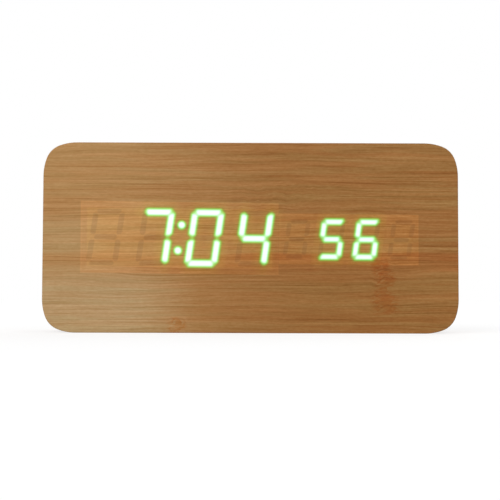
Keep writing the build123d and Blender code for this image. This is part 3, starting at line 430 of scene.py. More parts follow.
# LED display as it shines through the veneer: the sizes of each row of digits, and the bars that are lit
# in each, with the usual letters: a to f clockwise from the top bar, and g in the middle
largeRow = {
    "case": "large_module_case",
    "rimGain": (0.94, 0.90, 0.94),  # along the case's walls
    "digitsAside": 0.1, "levelTilt": 0.009,  # a slope, down to the right
    "digitSpacing": 24.4, "columnSpacing": 12.95, "height": 25.05,
    "bar": 2.8, "slant": 0.145,
    "reading": ("", "abc", "abcdef", "bcfg"),
    "colonDot": 3.2, "colonSpacing": 12.6,
}
smallRow = {
    "case": "small_module_case",
    "rimGain": (0.99, 0.97, 0.99),
    "digitsAside": 0.1, "levelTilt": 0.006,
    "digitSpacing": 17.2, "columnSpacing": 9.25, "height": 17.2,
    "bar": 2.3, "slant": 0.144,
    "reading": ("", "acdfg", "acdefg", ""),
}
glow = {
    "strength": 1.0,
    "tipRound": 5.0,
    "sideRound": 0.8,
    "levelTip": 0.4,  # how far outwards the tips of the level bars lie
    "cornerTip": 0.3,  # and those of the upright bars
    "middleTip": 0.35,  # inwards, where two upright bars meet
    "tipTurn": 0.1,  # half the length over which one tip's shift becomes the other's
    "merge": 1.5,  # the light of two bars runs together
    "farAway": 50.0,  # the distance that stands for no bar
    "fringe": (  # distance from the bar's edge in mm, and the light there
        (-0.90, (0.70, 1.00, 1.00)),
        (-0.50, (0.61, 1.00, 0.93)),
        (-0.25, (0.42, 0.94, 0.68)),
        (0.00, (0.22, 0.78, 0.36)),
        (0.20, (0.10, 0.64, 0.19)),
        (0.50, (0.01, 0.46, 0.06)),
        (0.75, (0.00, 0.25, 0.02)),
        (1.05, (0.00, 0.09, 0.01)),
        (1.50, (0.00, 0.025, 0.00)),
        (2.20, (0.00, 0.012, 0.00)),
        (3.20, (0.00, 0.006, 0.00)),
        (5.00, (0.00, 0.00, 0.00)),
    ),
    "windowGlowGain": (1.25, 1.23, 1.14),  # painted glow where a module lies behind the sheet and its light comes through
    "rimWidth": 3.2,
    "rimSoft": 0.35,
    "edgeGain": (1.04, 1.04, 1.04),  # the bright line at the window's edge
    "edgeWidth": 0.7,
    "darkBarGain": (0.86, 0.86, 0.90),
    "darkBarEdge": (0.25, -0.35),  # distances where it begins and is full
    "quenchGain": (0.66, 0.75, 0.64),  # the wood's own colour close to the light
    "quenchReach": 2.0,
    "spillGain": (1.05, 1.08, 1.02),  # painted light spilling around the lit bars
    "spillReach": 7.0,
}


# Distance to a bar with pointed ends, from places along it and across it, outwards from the digit's middle
def barDistance(tree, along, across, halfLength, halfThick, tipShift):
    past = minus(tree, absolute(tree, along), halfLength)
    mitre = minus(tree, past, across)
    chamfer = minus(tree, calc(tree, "ADD", past, across), product(tree, tipShift, 2.0))
    tip = calc(tree, "SMOOTH_MAX", mitre, chamfer, glow["tipRound"])
    tip = product(tree, tip, math.sqrt(0.5))
    side = minus(tree, absolute(tree, across), halfThick)
    return calc(tree, "SMOOTH_MAX", side, tip, glow["sideRound"])


# A flag for each of three bars, from the digit's place in the row
def litFlags(tree, index, row, bars):
    count = len(row["reading"])
    stops = [
        (place / count, tuple(float(bar in reading) for bar in bars) + (1.0,))
        for place, reading in enumerate(row["reading"])
    ]
    share = calc(tree, "DIVIDE", calc(tree, "ADD", index, 0.5), count)
    return channels(tree, ramp(tree, share, stops, "CONSTANT"))


# Distances to a row's lit and dark bars, and how far inside its case a point is
def displayRow(tree, x, z, row):
    middle, half = middleAndHalf(row["case"])
    fromX = minus(tree, x, middle.x)
    sunk = product(tree, fromX, row["levelTilt"])
    fromZ = calc(tree, "ADD", minus(tree, z, middle.z), sunk)
    insideX = minus(tree, half.x, absolute(tree, fromX))
    insideZ = minus(tree, half.z, absolute(tree, fromZ))
    fromX = minus(tree, fromX, row["digitsAside"])
    upright = minus(tree, fromX, product(tree, fromZ, row["slant"]))  # X as if the digits stood straight
    count = len(row["reading"])
    share = calc(tree, "ADD", calc(tree, "DIVIDE", upright, row["digitSpacing"]), count / 2)
    last = count - 0.001  # keeps the index on the last digit
    index = calc(tree, "FLOOR", calc(tree, "MINIMUM", calc(tree, "MAXIMUM", share, 0.0), last))
    offset = minus(tree, minus(tree, share, index), 0.5)
    aside = product(tree, offset, row["digitSpacing"])
    halfWide, halfTall, halfThick = row["columnSpacing"] / 2, row["height"] / 2, row["bar"] / 2
    right = calc(tree, "GREATER_THAN", aside, 0.0)
    first, second, third = [litFlags(tree, index, row, bars) for bars in ("abc", "dfe", "ggg")]

    bars = []  # the level ones at the top, middle and bottom, then the upper and the lower pair
    for side, out, flag in ((1, 1, first[0]), (1, 0, third[0]), (-1, 1, second[0])):
        across = minus(tree, product(tree, fromZ, side), halfTall * out)
        bars.append((barDistance(tree, aside, across, halfWide, halfThick, glow["levelTip"] * out), flag))
    across = minus(tree, absolute(tree, aside), halfWide)
    for side, part in ((1, 1), (-1, 2)):
        along = minus(tree, product(tree, fromZ, side), halfTall / 2)
        turn = glow["tipTurn"]
        tipShift = fitRange(tree, along, -turn, turn, -glow["middleTip"], glow["cornerTip"])
        flag = mixValue(tree, right, second[part], first[part])
        bars.append((barDistance(tree, along, across, halfTall / 2, halfThick, tipShift), flag))

    lit = dark = glow["farAway"]
    for distance, flag in bars:
        unlit = minus(tree, 1.0, flag)
        toLit = calc(tree, "MULTIPLY_ADD", unlit, glow["farAway"], distance)
        toDark = calc(tree, "MULTIPLY_ADD", flag, glow["farAway"], distance)
        lit = calc(tree, "SMOOTH_MIN", lit, toLit, glow["merge"])
        dark = calc(tree, "MINIMUM", dark, toDark)
    if "colonDot" in row:
        rise = row["colonSpacing"] / 2
        lean = product(tree, calc(tree, "SIGN", fromZ), row["slant"] * rise)
        dotX = minus(tree, fromX, lean)
        dotZ = minus(tree, absolute(tree, fromZ), rise)
        squares = calc(tree, "ADD", product(tree, dotX, dotX), product(tree, dotZ, dotZ))
        dot = minus(tree, calc(tree, "SQRT", squares), row["colonDot"] / 2)
        lit = calc(tree, "MINIMUM", lit, dot)
    return lit, dark, calc(tree, "MINIMUM", insideX, insideZ)


# The front's tone: darker low at the right, paler towards the left and palest low there, partly the wood's
# own tone and partly a painted sheen, and its bands
def frontTone(tree, place, x, z):
    tone = colour(*bamboo["tone"])
    # Paler towards the left and palest low there: partly a painted sheen
    for shade in bamboo["tonesAndSheen"]:
        factor = ease(tree, x, *shade["across"])
        if "up" in shade:
            factor = product(tree, factor, ease(tree, z, *shade["up"]))
        tone = blend(tree, factor, tone, colour(*shade["tone"]))
    length, thick, high = bamboo["bandEdge"]
    level = calc(tree, "ADD", z, sway(tree, fibreNoise(tree, place, "Z", length, thick, detail=2), high))
    for band in bamboo["bands"]:
        start, full, fade, end = band["up"]
        upward = product(tree, ease(tree, level, start, full), ease(tree, level, end, fade))
        factor = product(tree, upward, ease(tree, x, *band["across"]))
        tone = gainWhere(tree, factor, tone, band["gain"])
    return tone


# The sheet over the display: windows paled by the modules' light as painted glow, dark bars, and the lit
# bars as light of its own
def addDisplay(tree, shader, tone, x, z):
    lit = glow["farAway"]
    soft = glow["rimSoft"]
    for row in (largeRow, smallRow):
        rowLit, rowDark, inside = displayRow(tree, x, z, row)
        window = beyond(tree, inside, 0, soft)
        # Painted glow: the sheet is paler and warmer over each module, whose light comes through it
        tone = gainWhere(tree, window, tone, glow["windowGlowGain"])
        for width, gain in ((glow["rimWidth"], row["rimGain"]), (glow["edgeWidth"], glow["edgeGain"])):
            border = product(tree, window, within(tree, inside, width, soft))
            tone = gainWhere(tree, border, tone, gain)
        tone = gainWhere(tree, ease(tree, rowDark, *glow["darkBarEdge"]), tone, glow["darkBarGain"])
        lit = calc(tree, "MINIMUM", lit, rowLit)
    # Painted light spills onto the wood around the lit bars, and close to them the wood's own colour is
    # dimmed
    for name in ("spill", "quench"):
        tone = gainWhere(tree, ease(tree, lit, glow[name + "Reach"], 0.0), tone, glow[name + "Gain"])
    start, end = glow["fringe"][0][0], glow["fringe"][-1][0]
    stops = [((far - start) / (end - start), (*light, 1)) for far, light in glow["fringe"]]
    light = ramp(tree, fitRange(tree, lit, start, end), stops)
    tree.links.new(light, shader.inputs["Emission Color"])
    shader.inputs["Emission Strength"].default_value = glow["strength"]
    return tone


def veneerMaterial(name, across, isFront=False):
    material, tree, shader, place = newMaterial(name, specular=bamboo["specular"])
    tone = colour(*bamboo["tone"])
    stains = []
    if isFront:
        x, y, z = placeParts(tree, place)
        tone = frontTone(tree, place, x, z)
        for mark in growthMarks:
            ruffle, stain = growthMark(tree, place, mark)
            place = vectorCalc(tree, "ADD", place, addNode(tree, "CombineXYZ", {"Z": ruffle}).outputs[0])
            if stain:
                stains.append(stain)
    gain, height, rough = bambooPattern(tree, place, across)
    if isFront:
        contrast = fitRange(tree, x, *bamboo["contrastAcross"], *bamboo["contrast"])
        change = vectorCalc(tree, "SUBTRACT", gain, (1, 1, 1))
        gain = vectorCalc(tree, "ADD", scale(tree, change, contrast), (1, 1, 1))
    for stain in stains:
        gain = gainWhere(tree, stain, gain, ruffling["gain"])
    tone = blend(tree, 1.0, tone, gain, "MULTIPLY")
    if isFront:
        tone = addDisplay(tree, shader, tone, x, z)
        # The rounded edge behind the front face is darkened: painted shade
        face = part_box("front_veneer")[0].y / mm
        cut = ease(tree, y, *[face + behind for behind in bamboo["edgeShadeBehind"]])
        tone = gainWhere(tree, cut, tone, bamboo["edgeShadeGain"])
    tree.links.new(tone, shader.inputs["Base Color"])
    tree.links.new(rough, shader.inputs["Roughness"])
    tree.links.new(bumpNormal(tree, height, bamboo["fibreDepth"]), shader.inputs["Normal"])
    return material


dress(veneerMaterial("bambooFront", "Z", isFront=True), "front_veneer")
dress(veneerMaterial("bambooBack", "Z"), "back_veneer")
dress(veneerMaterial("bambooEdge", "Y"), "edge_veneer", "base_veneer")
print("veneer: bamboo and display")

# Plain finishes: two tones in clouds, a fine grain and its depth, and the roughness between two values.
# Clouds and grain are the size of a spot in mm, one for all ways or one each for X, Y and Z.
finishes = {
    "coreBoard": {
        "nodes": ["wood_core"],
        "tones": ((190, 158, 116), (158, 124, 84)), "clouds": (4, 1.2, 4), "grain": (0.9, 0.25, 0.9),
        "speckle": 0.22, "depth": 0.05, "roughness": (0.95, 0.85), "specular": 0.15,
    },
    "moduleCase": {
        "nodes": ["large_module_case", "small_module_case"],
        "tones": ((226, 227, 221), (208, 209, 201)), "clouds": 14, "grain": 0.3,
        "speckle": 0.03, "depth": 0.01, "roughness": (0.62, 0.48),
    },
    "darkBars": {
        "nodes": ["large_dark_bars", "small_dark_bars"],
        "tones": ((150, 154, 142), (132, 136, 126)), "clouds": (2, 6, 2), "grain": 0.4,
        "speckle": 0.05, "depth": 0.006, "roughness": (0.35, 0.22),
    },
    "tinnedLegs": {
        "nodes": ["module_pins", "chip_legs", "switch_legs"],
        "tones": ((206, 208, 210), (170, 174, 178)), "clouds": 0.8, "grain": 0.2,
        "speckle": 0.08, "depth": 0.01, "roughness": (0.42, 0.2), "metallic": 1.0,
    },
    "contactNickel": {
        "nodes": ["contact_plates", "contact_springs"],
        "tones": ((214, 209, 198), (186, 180, 168)), "clouds": (3, 3, 6), "grain": (0.15, 0.15, 2.5),
        "speckle": 0.06, "depth": 0.006, "roughness": (0.38, 0.18), "metallic": 1.0,
    },
    "chipPlastic": {
        "nodes": ["chip_bodies"],
        "tones": ((38, 38, 40), (28, 28, 30)), "clouds": 2, "grain": 0.12,
        "speckle": 0.25, "depth": 0.01, "roughness": (0.72, 0.55),
    },
    "crystalCan": {
        "nodes": ["crystal"],
        "tones": ((205, 207, 210), (176, 179, 184)), "clouds": (1.5, 1.5, 4), "grain": (0.1, 0.1, 1.6),
        "speckle": 0.06, "depth": 0.004, "roughness": (0.34, 0.2), "metallic": 1.0,
    },
    "buzzerPlastic": {
        "nodes": ["buzzer"],
        "tones": ((34, 34, 36), (24, 24, 26)), "clouds": 5, "grain": 0.2,
        "speckle": 0.15, "depth": 0.008, "roughness": (0.55, 0.4),
    },
    "headerNylon": {
        "nodes": ["display_header", "signal_header", "battery_header"],
        "tones": ((236, 231, 214), (222, 215, 194)), "clouds": 3, "grain": 0.25,
        "speckle": 0.03, "depth": 0.01, "roughness": (0.6, 0.45),
    },
    "buttonPlastic": {
        "nodes": ["set_button", "up_button", "down_button"],
        "tones": ((64, 63, 62), (50, 49, 49)), "clouds": 3, "grain": 0.22,
        "speckle": 0.14, "depth": 0.01, "roughness": (0.46, 0.30),
    },
    "plungerNylon": {
        "nodes": ["set_plunger", "up_plunger", "down_plunger"],
        "tones": ((222, 217, 204), (204, 198, 184)), "clouds": 2, "grain": 0.2,
        "speckle": 0.04, "depth": 0.008, "roughness": (0.55, 0.4),
    },
    "jackPlastic": {
        "nodes": ["power_jack"],
        "tones": ((30, 30, 32), (21, 21, 23)), "clouds": 3, "grain": 0.2,
        "speckle": 0.15, "depth": 0.01, "roughness": (0.5, 0.36),
    },
    "pinBrass": {
        "nodes": ["jack_pin"],
        "tones": ((226, 188, 106), (198, 156, 78)), "clouds": (0.8, 2, 0.8), "grain": (0.5, 0.08, 0.5),
        "speckle": 0.08, "depth": 0.004, "roughness": (0.34, 0.18), "metallic": 1.0,
    },
    "greyInsulation": {
        "nodes": ["signal_leads"],
        "tones": ((148, 150, 154), (128, 130, 135)), "clouds": 6, "grain": 0.3,
        "speckle": 0.05, "depth": 0.012, "roughness": (0.5, 0.36),
    },
    "redInsulation": {
        "nodes": ["red_battery_lead"],
        "tones": ((188, 34, 28), (158, 24, 20)), "clouds": 6, "grain": 0.3,
        "speckle": 0.06, "depth": 0.012, "roughness": (0.48, 0.34),
    },
    "blackInsulation": {
        "nodes": ["black_battery_lead"],
        "tones": ((34, 34, 35), (24, 24, 25)), "clouds": 6, "grain": 0.3,
        "speckle": 0.1, "depth": 0.012, "roughness": (0.48, 0.34),
    },
}


def finishMaterial(name, look):
    material, tree, shader, place = newMaterial(
        name, metallic=look.get("metallic", 0.0), specular=look.get("specular", 0.5)
    )
    clouds = noise(tree, place, look["clouds"], detail=4, roughness=0.6)
    grain = noise(tree, place, look["grain"], detail=2)
    first, second = [colour(*tone) for tone in look["tones"]]
    tone = blend(tree, ease(tree, clouds, *narrowEnds), first, second)
    speckle = fitRange(tree, grain, *broadEnds, 1 - look["speckle"], 1 + look["speckle"])
    tree.links.new(scale(tree, tone, speckle), shader.inputs["Base Color"])
    tree.links.new(fitRange(tree, clouds, *middleEnds, *look["roughness"]), shader.inputs["Roughness"])
    tree.links.new(bumpNormal(tree, grain, look["depth"]), shader.inputs["Normal"])
    return material, tree, shader, place


# Lays another finish over a part of a surface, where the factor is 1. In the looks below such a finish
# is its tone, its roughness and, where it differs from what lies under it, how metallic it is.
def layOver(tree, shader, factor, tone, roughness, metallic=None):
    layers = (("Base Color", colour(*tone), blend), ("Roughness", roughness, mixValue),
              ("Metallic", metallic, mixValue))
    for key, over, mix in layers:
        socket = shader.inputs[key]
        under = socket.links[0].from_socket if socket.links else socket.default_value
        if over is not None:
            feed(tree, socket, mix(tree, factor, under, over))


# Distance from an axis that runs along Y or X through the middle of a piece
def fromAxis(tree, place, piece, along="Y"):
    offset = vectorCalc(tree, "SUBTRACT", place, tuple(middleAndHalf(piece)[0]))
    flat = vectorCalc(tree, "MULTIPLY", offset, (1, 0, 1) if along == "Y" else (0, 1, 1))
    return addNode(tree, "VectorMath", {0: flat}, operation="LENGTH").outputs["Value"]


for finishName, finish in finishes.items():
    dress(finishMaterial(finishName, finish)[0], *finish["nodes"])
print("plain finishes:", len(finishes))

# Rear cover and battery door: spark-eroded plastic, and the raised signs beside the buttons inked pale
coverLook = {
    "tones": ((47, 46, 45), (33, 32, 32)), "clouds": (30, 9, 18), "grain": 0.45,
    "speckle": 0.34, "depth": 0.07, "roughness": (0.62, 0.42),
    "ink": ((158, 157, 152), 0.5),
    "inkRise": (0.10, 0.16),  # above the door's underside, where it begins and is full
    "inkReach": (5.0, 10.5),  # from the middle of the buttons towards the block's middle
    "inkChip": 0.5, "inkWorn": (0.30, 0.42),
}


def coverMaterial(look):
    material, tree, shader, place = finishMaterial("texturedCover", look)
    x, y, z = placeParts(tree, place)
    topMiddle, topHalf = middleAndHalf("set_button")
    lowMiddle, lowHalf = middleAndHalf("down_button")
    away = minus(tree, topMiddle.x, x)
    beside = between(tree, away, *look["inkReach"])
    level = between(tree, z, lowMiddle.z - lowHalf.z, topMiddle.z + topHalf.z)
    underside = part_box("battery_door")[0].y / mm  # the door slides just above the cover's face
    raised = ease(tree, y, *[underside + rise for rise in look["inkRise"]])
    worn = ease(tree, noise(tree, place, look["inkChip"]), *look["inkWorn"])
    layOver(tree, shader, product(tree, beside, level, raised, worn), *look["ink"])
    return material


dress(coverMaterial(coverLook), "rear_cover", "battery_door")

# Lit bars: milky plastic with the light of a green-white chip behind it
litLook = {
    "tones": ((236, 246, 228), (222, 236, 214)), "clouds": (2, 6, 2), "grain": 0.4,
    "speckle": 0.03, "depth": 0.006, "roughness": (0.35, 0.22),
    "hotSpot": (5, 30, 5), "hotEnds": (0.35, 0.6),
    "dim": (150, 240, 130), "bright": (226, 255, 214), "strength": 0.9,
}


def litMaterial(look):
    material, tree, shader, place = finishMaterial("litBars", look)
    hot = ease(tree, noise(tree, place, look["hotSpot"], detail=2), *look["hotEnds"])
    light = blend(tree, hot, colour(*look["dim"]), colour(*look["bright"]))
    tree.links.new(light, shader.inputs["Emission Color"])
    shader.inputs["Emission Strength"].default_value = look["strength"]
    return material


dress(litMaterial(litLook), "large_lit_bars", "small_lit_bars")

# Circuit boards: lacquer over tracks that run in blocks, tinned eyelets, and the bare glass-cloth edge
boardLook = {
    "tones": ((18, 92, 52), (12, 76, 42)), "clouds": 18, "grain": 0.5,
    "speckle": 0.06, "depth": 0.006, "roughness": (0.36, 0.24),
    "track": ((40, 128, 74), 0.24), "trackPitch": 1.27, "trackWidth": 0.5, "trackSoft": 0.05,
    "trackDepth": 0.03, "block": 8.0,
    "bareBlocks": 0.12,  # half the share of blocks that have no tracks
    # The eyelets' holes are painted near black: painted shade inside them
    "tin": ((206, 208, 206), 0.3, 1.0), "hole": ((16, 20, 16), 0.7),
    "eyeletSpacing": 6.0, "eyelet": 0.5, "eyeletHole": 0.22, "eyeletSoft": 0.04,
    "cloth": ((176, 170, 112), 0.75, 0.0), "clothInside": 0.055, "clothSoft": 0.025,
}


def boardMaterial(name, node, look):
    material, tree, shader, place = finishMaterial(name, look)
    x, y, z = placeParts(tree, place)
    flat = vectorCalc(tree, "MULTIPLY", place, (1, 0, 1))
    blocks = cells(tree, flat, look["block"], distance="CHEBYCHEV")
    pick = channels(tree, blocks["Color"])[0]
    lines = [
        within(tree, calc(tree, "PINGPONG", value, look["trackPitch"] / 2), look["trackWidth"] / 2,
               look["trackSoft"])
        for value in (z, x)
    ]
    tracks = mixValue(tree, calc(tree, "GREATER_THAN", pick, 0.5), *lines)
    bare = calc(tree, "LESS_THAN", apart(tree, pick, 0.5), look["bareBlocks"])
    tracks = product(tree, tracks, minus(tree, 1.0, bare))
    layOver(tree, shader, tracks, *look["track"])
    eyelets = cells(tree, flat, look["eyeletSpacing"])
    far = product(tree, eyelets["Distance"], look["eyeletSpacing"])
    ring, hole = [within(tree, far, look[key], look["eyeletSoft"]) for key in ("eyelet", "eyeletHole")]
    layOver(tree, shader, ring, *look["tin"])
    # Painted shade in the eyelets' holes
    layOver(tree, shader, hole, *look["hole"])
    middle, half = middleAndHalf(node)
    edge = within(tree, apart(tree, y, middle.y), half.y - look["clothInside"], look["clothSoft"])
    layOver(tree, shader, edge, *look["cloth"])
    height = calc(tree, "ADD", tracks, ring)
    tree.links.new(bumpNormal(tree, height, look["trackDepth"]), shader.inputs["Normal"])
    return material


for boardName in ("display_board", "control_board"):
    dress(boardMaterial("lacquered_" + boardName, boardName, boardLook), boardName)

# Capacitor: a shrunk sleeve with a pale stripe, and the bare can at its free end with its scored lines
capacitorLook = {
    "tones": ((22, 26, 44), (16, 18, 32)), "clouds": 5, "grain": 0.4,
    "speckle": 0.06, "depth": 0.02, "roughness": (0.34, 0.22),
    "stripe": ((196, 200, 206), 0.35), "stripeHalf": 1.1, "soft": 0.05,
    "can": ((208, 210, 214), 0.3, 1.0), "canRadius": 2.55, "canDeep": 0.5,
    # the scored lines' darker grey is painted shade in their grooves
    "score": ((120, 122, 126), 0.5), "scoreHalf": 0.08,
}


def capacitorMaterial(look):
    material, tree, shader, place = finishMaterial("capacitorSleeve", look)
    x, y, z = placeParts(tree, place)
    middle, half = middleAndHalf("capacitor")
    aside = apart(tree, z, middle.z)
    stripe = product(tree, calc(tree, "LESS_THAN", x, middle.x),
                     within(tree, aside, look["stripeHalf"], look["soft"]))
    layOver(tree, shader, stripe, *look["stripe"])
    radius = fromAxis(tree, place, "capacitor")
    can = product(tree, calc(tree, "GREATER_THAN", y, middle.y + half.y - look["canDeep"]),
                  within(tree, radius, look["canRadius"], look["soft"]))
    layOver(tree, shader, can, *look["can"])
    # The scored lines are painted darker: painted shade in the grooves
    nearest = calc(tree, "MINIMUM", apart(tree, x, middle.x), aside)
    score = product(tree, can, ease(tree, nearest, look["scoreHalf"], 0))
    layOver(tree, shader, score, *look["score"])
    return material


dress(capacitorMaterial(capacitorLook), "capacitor")

# Chip resistors: a glazed body between tinned ends
resistorLook = {
    "tones": ((30, 30, 34), (22, 22, 26)), "clouds": 1, "grain": 0.2,
    "speckle": 0.08, "depth": 0.005, "roughness": (0.25, 0.15),
    "tin": ((208, 209, 210), 0.3, 1.0), "endLength": 0.45, "soft": 0.04,
}


def resistorMaterial(look):
    material, tree, shader, place = finishMaterial("resistorGlaze", look)
    z = placeParts(tree, place)[2]
    middle, half = middleAndHalf("chip_resistors")
    ends = beyond(tree, apart(tree, z, middle.z), half.z - look["endLength"], look["soft"])
    layOver(tree, shader, ends, *look["tin"])
    return material


dress(resistorMaterial(resistorLook), "chip_resistors")

# Push switches: a black base under a pressed steel cap
switchLook = {
    "tones": ((32, 32, 34), (23, 23, 25)), "clouds": 3, "grain": 0.2,
    "speckle": 0.12, "depth": 0.008, "roughness": (0.55, 0.42),
    "cap": ((198, 200, 202), 0.32, 1.0), "capDeep": 0.5, "soft": 0.03,
}


def switchMaterial(look):
    material, tree, shader, place = finishMaterial("switchBodies", look)
    y = placeParts(tree, place)[1]
    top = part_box("switch_bodies")[1].y / mm
    layOver(tree, shader, beyond(tree, y, top - look["capDeep"], look["soft"]), *look["cap"])
    return material


dress(switchMaterial(switchLook), "switch_bodies")

# Microphone: a drawn can with a disc of black felt on its mouth
microphoneLook = {
    "tones": ((206, 208, 211), (180, 183, 188)), "clouds": 1.5, "grain": (0.8, 0.08, 0.8),
    "speckle": 0.06, "depth": 0.004, "roughness": (0.36, 0.22), "metallic": 1.0,
    "felt": ((22, 22, 23), 0.95, 0.0), "feltRadius": 2.1, "feltDeep": 0.6, "soft": 0.05,
}


def microphoneMaterial(look):
    material, tree, shader, place = finishMaterial("microphoneCan", look)
    y = placeParts(tree, place)[1]
    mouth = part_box("microphone")[1].y / mm
    radius = fromAxis(tree, place, "microphone")
    felt = product(tree, calc(tree, "GREATER_THAN", y, mouth - look["feltDeep"]),
                   within(tree, radius, look["feltRadius"], look["soft"]))
    layOver(tree, shader, felt, *look["felt"])
    return material


dress(microphoneMaterial(microphoneLook), "microphone")

# Thermistor: a glazed bead on two tinned legs
thermistorLook = {
    "tones": ((24, 44, 38), (16, 32, 28)), "clouds": 0.8, "grain": 0.3,
    "speckle": 0.08, "depth": 0.01, "roughness": (0.3, 0.16),
    "tin": ((205, 207, 209), 0.35, 1.0), "beadLength": 2.2, "soft": 0.1,
}


def thermistorMaterial(look):
    material, tree, shader, place = finishMaterial("thermistorBead", look)
    y = placeParts(tree, place)[1]
    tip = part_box("thermistor")[1].y / mm
    layOver(tree, shader, within(tree, y, tip - look["beadLength"], look["soft"]), *look["tin"])
    return material


dress(thermistorMaterial(thermistorLook), "thermistor")
print("cover, lit bars, boards and their parts")


# New pieces are shaped in millimetres about the origin, then moved to their place in their mesh
mergeWithin = 0.001


def spinProfile(points, steps):  # turned about the X axis, from places along it and radii there
    shape = bmesh.new()
    corners = [shape.verts.new((along, radius, 0)) for along, radius in points]
    edges = [shape.edges.new(pair) for pair in zip(corners, corners[1:])]
    bmesh.ops.spin(shape, geom=corners + edges, cent=(0, 0, 0), axis=(1, 0, 0),
                   angle=2 * math.pi, steps=steps, use_merge=True)
    bmesh.ops.remove_doubles(shape, verts=shape.verts, dist=mergeWithin)
    bmesh.ops.recalc_face_normals(shape, faces=shape.faces)
    return shape


def meshPiece(name, shape, material, sharpAngle=35):  # in degrees, past which an edge stays sharp
    mesh = takeMesh(name, shape)
    mesh.shade_smooth()
    mesh.set_sharp_from_angle(angle=math.radians(sharpAngle))
    mesh.materials.append(material)
    return addObject(name, mesh)


# Battery cells: a foil jacket rolled over both ends, a steel cap, a gasket groove and a nub
cellShape = {
    "nubSides": (1, -1, 1, -1),  # the end of the bay that each nub faces
    "steps": 72,
    "flatEnd": (  # from the flat end: along, radius
        (0.25, 0.0), (0.25, 2.4), (0.05, 2.8), (0.0, 3.0), (0.0, 4.0), (0.15, 4.15), (0.5, 4.2),
        (0.5, 4.5), (0.15, 4.62), (0.06, 4.82), (0.2, 5.08), (0.55, 5.25),
    ),
    "nubEnd": (  # from the nub's tip
        (2.0, 5.25), (1.6, 5.1), (1.35, 4.86), (1.4, 4.66), (1.8, 4.55), (1.8, 4.2), (1.42, 4.0),
        (1.36, 2.4), (1.25, 2.05), (1.0, 1.9), (0.25, 1.9), (0.06, 1.78), (0.0, 1.5), (0.0, 0.0),
    ),
}
cellLook = {
    "tones": ((36, 88, 80), (26, 72, 66)), "clouds": (9, 5, 5), "grain": (1.4, 0.2, 0.2),
    "speckle": 0.06, "depth": 0.01, "roughness": (0.4, 0.26),
    "band": ((214, 212, 202), 0.38), "bandLength": 9.5,
    "ring": ((196, 160, 64), 0.3), "ringLength": 1.2, "soft": 0.05,
    "seam": ((26, 28, 30), 0.5), "seamPlace": 3.6, "seamHalf": 0.08,
    "plus": ((40, 44, 46), 0.4), "minus": ((214, 212, 202), 0.4),
    "signPlace": 4.8, "signHalf": 1.4, "signWidth": 0.32, "signSoft": 0.04,
    "gasket": ((26, 28, 30), 0.7), "gasketRadius": 4.57,
    "steel": ((200, 200, 198), 0.28, 1.0), "steelRadius": 4.16, "endSoft": 0.03,
}


def boxMask(tree, first, second, halfFirst, halfSecond, soft):
    masks = [
        within(tree, absolute(tree, value), half, soft)
        for value, half in ((first, halfFirst), (second, halfSecond))
    ]
    return product(tree, *masks)


def cellMaterial(name, node, nubSide, look):
    material, tree, shader, place = finishMaterial(name, look)
    x, y, z = placeParts(tree, place)
    middle, halfSize = middleAndHalf(node)
    nubEnd = middle.x + nubSide * halfSize.x
    along = product(tree, minus(tree, nubEnd, x), nubSide)
    aside = minus(tree, z, middle.z)
    outer = calc(tree, "GREATER_THAN", y, middle.y)
    layOver(tree, shader, within(tree, along, look["bandLength"], look["soft"]), *look["band"])
    ring = within(tree, apart(tree, along, look["bandLength"]), look["ringLength"] / 2, look["soft"])
    layOver(tree, shader, ring, *look["ring"])
    seam = within(tree, apart(tree, aside, look["seamPlace"]), look["seamHalf"], look["signSoft"])
    layOver(tree, shader, product(tree, outer, seam), *look["seam"])
    half, width, soft = look["signHalf"], look["signWidth"], look["signSoft"]
    fromPlus = minus(tree, along, look["signPlace"])
    plusSign = calc(tree, "MAXIMUM", boxMask(tree, fromPlus, aside, half, width, soft),
                    boxMask(tree, fromPlus, aside, width, half, soft))
    layOver(tree, shader, product(tree, plusSign, outer), *look["plus"])
    fromMinus = minus(tree, along, 2 * halfSize.x - look["signPlace"])
    minusSign = boxMask(tree, fromMinus, aside, width, half, soft)
    layOver(tree, shader, product(tree, minusSign, outer), *look["minus"])
    radius = fromAxis(tree, place, node, along="X")
    for key in ("gasket", "steel"):
        layOver(tree, shader, within(tree, radius, look[key + "Radius"], look["endSoft"]), *look[key])
    return material


def makeCell(number, nubSide):
    node = "battery_cell_" + str(number)
    low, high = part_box(node)
    length = (high.x - low.x) / mm
    profile = list(cellShape["flatEnd"])
    profile += [(length - along, radius) for along, radius in cellShape["nubEnd"]]
    shape = spinProfile(profile, cellShape["steps"])
    middle = (low + high) / 2
    flatEnd = low.x if nubSide > 0 else high.x
    turn = Matrix.Rotation(0 if nubSide > 0 else math.pi, 4, "Z")
    place = Matrix.Translation((flatEnd, middle.y, middle.z)) @ turn @ Matrix.Scale(mm, 4)
    bmesh.ops.transform(shape, matrix=place, verts=shape.verts)
    material = cellMaterial("cellJacket" + str(number), node, nubSide, cellLook)
    piece = meshPiece("cell_" + str(number), shape, material)
    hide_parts(node)
    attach(piece, "case")


for cellNumber, cellSide in enumerate(cellShape["nubSides"], 1):
    makeCell(cellNumber, cellSide)
print("battery cells:", len(cellShape["nubSides"]))

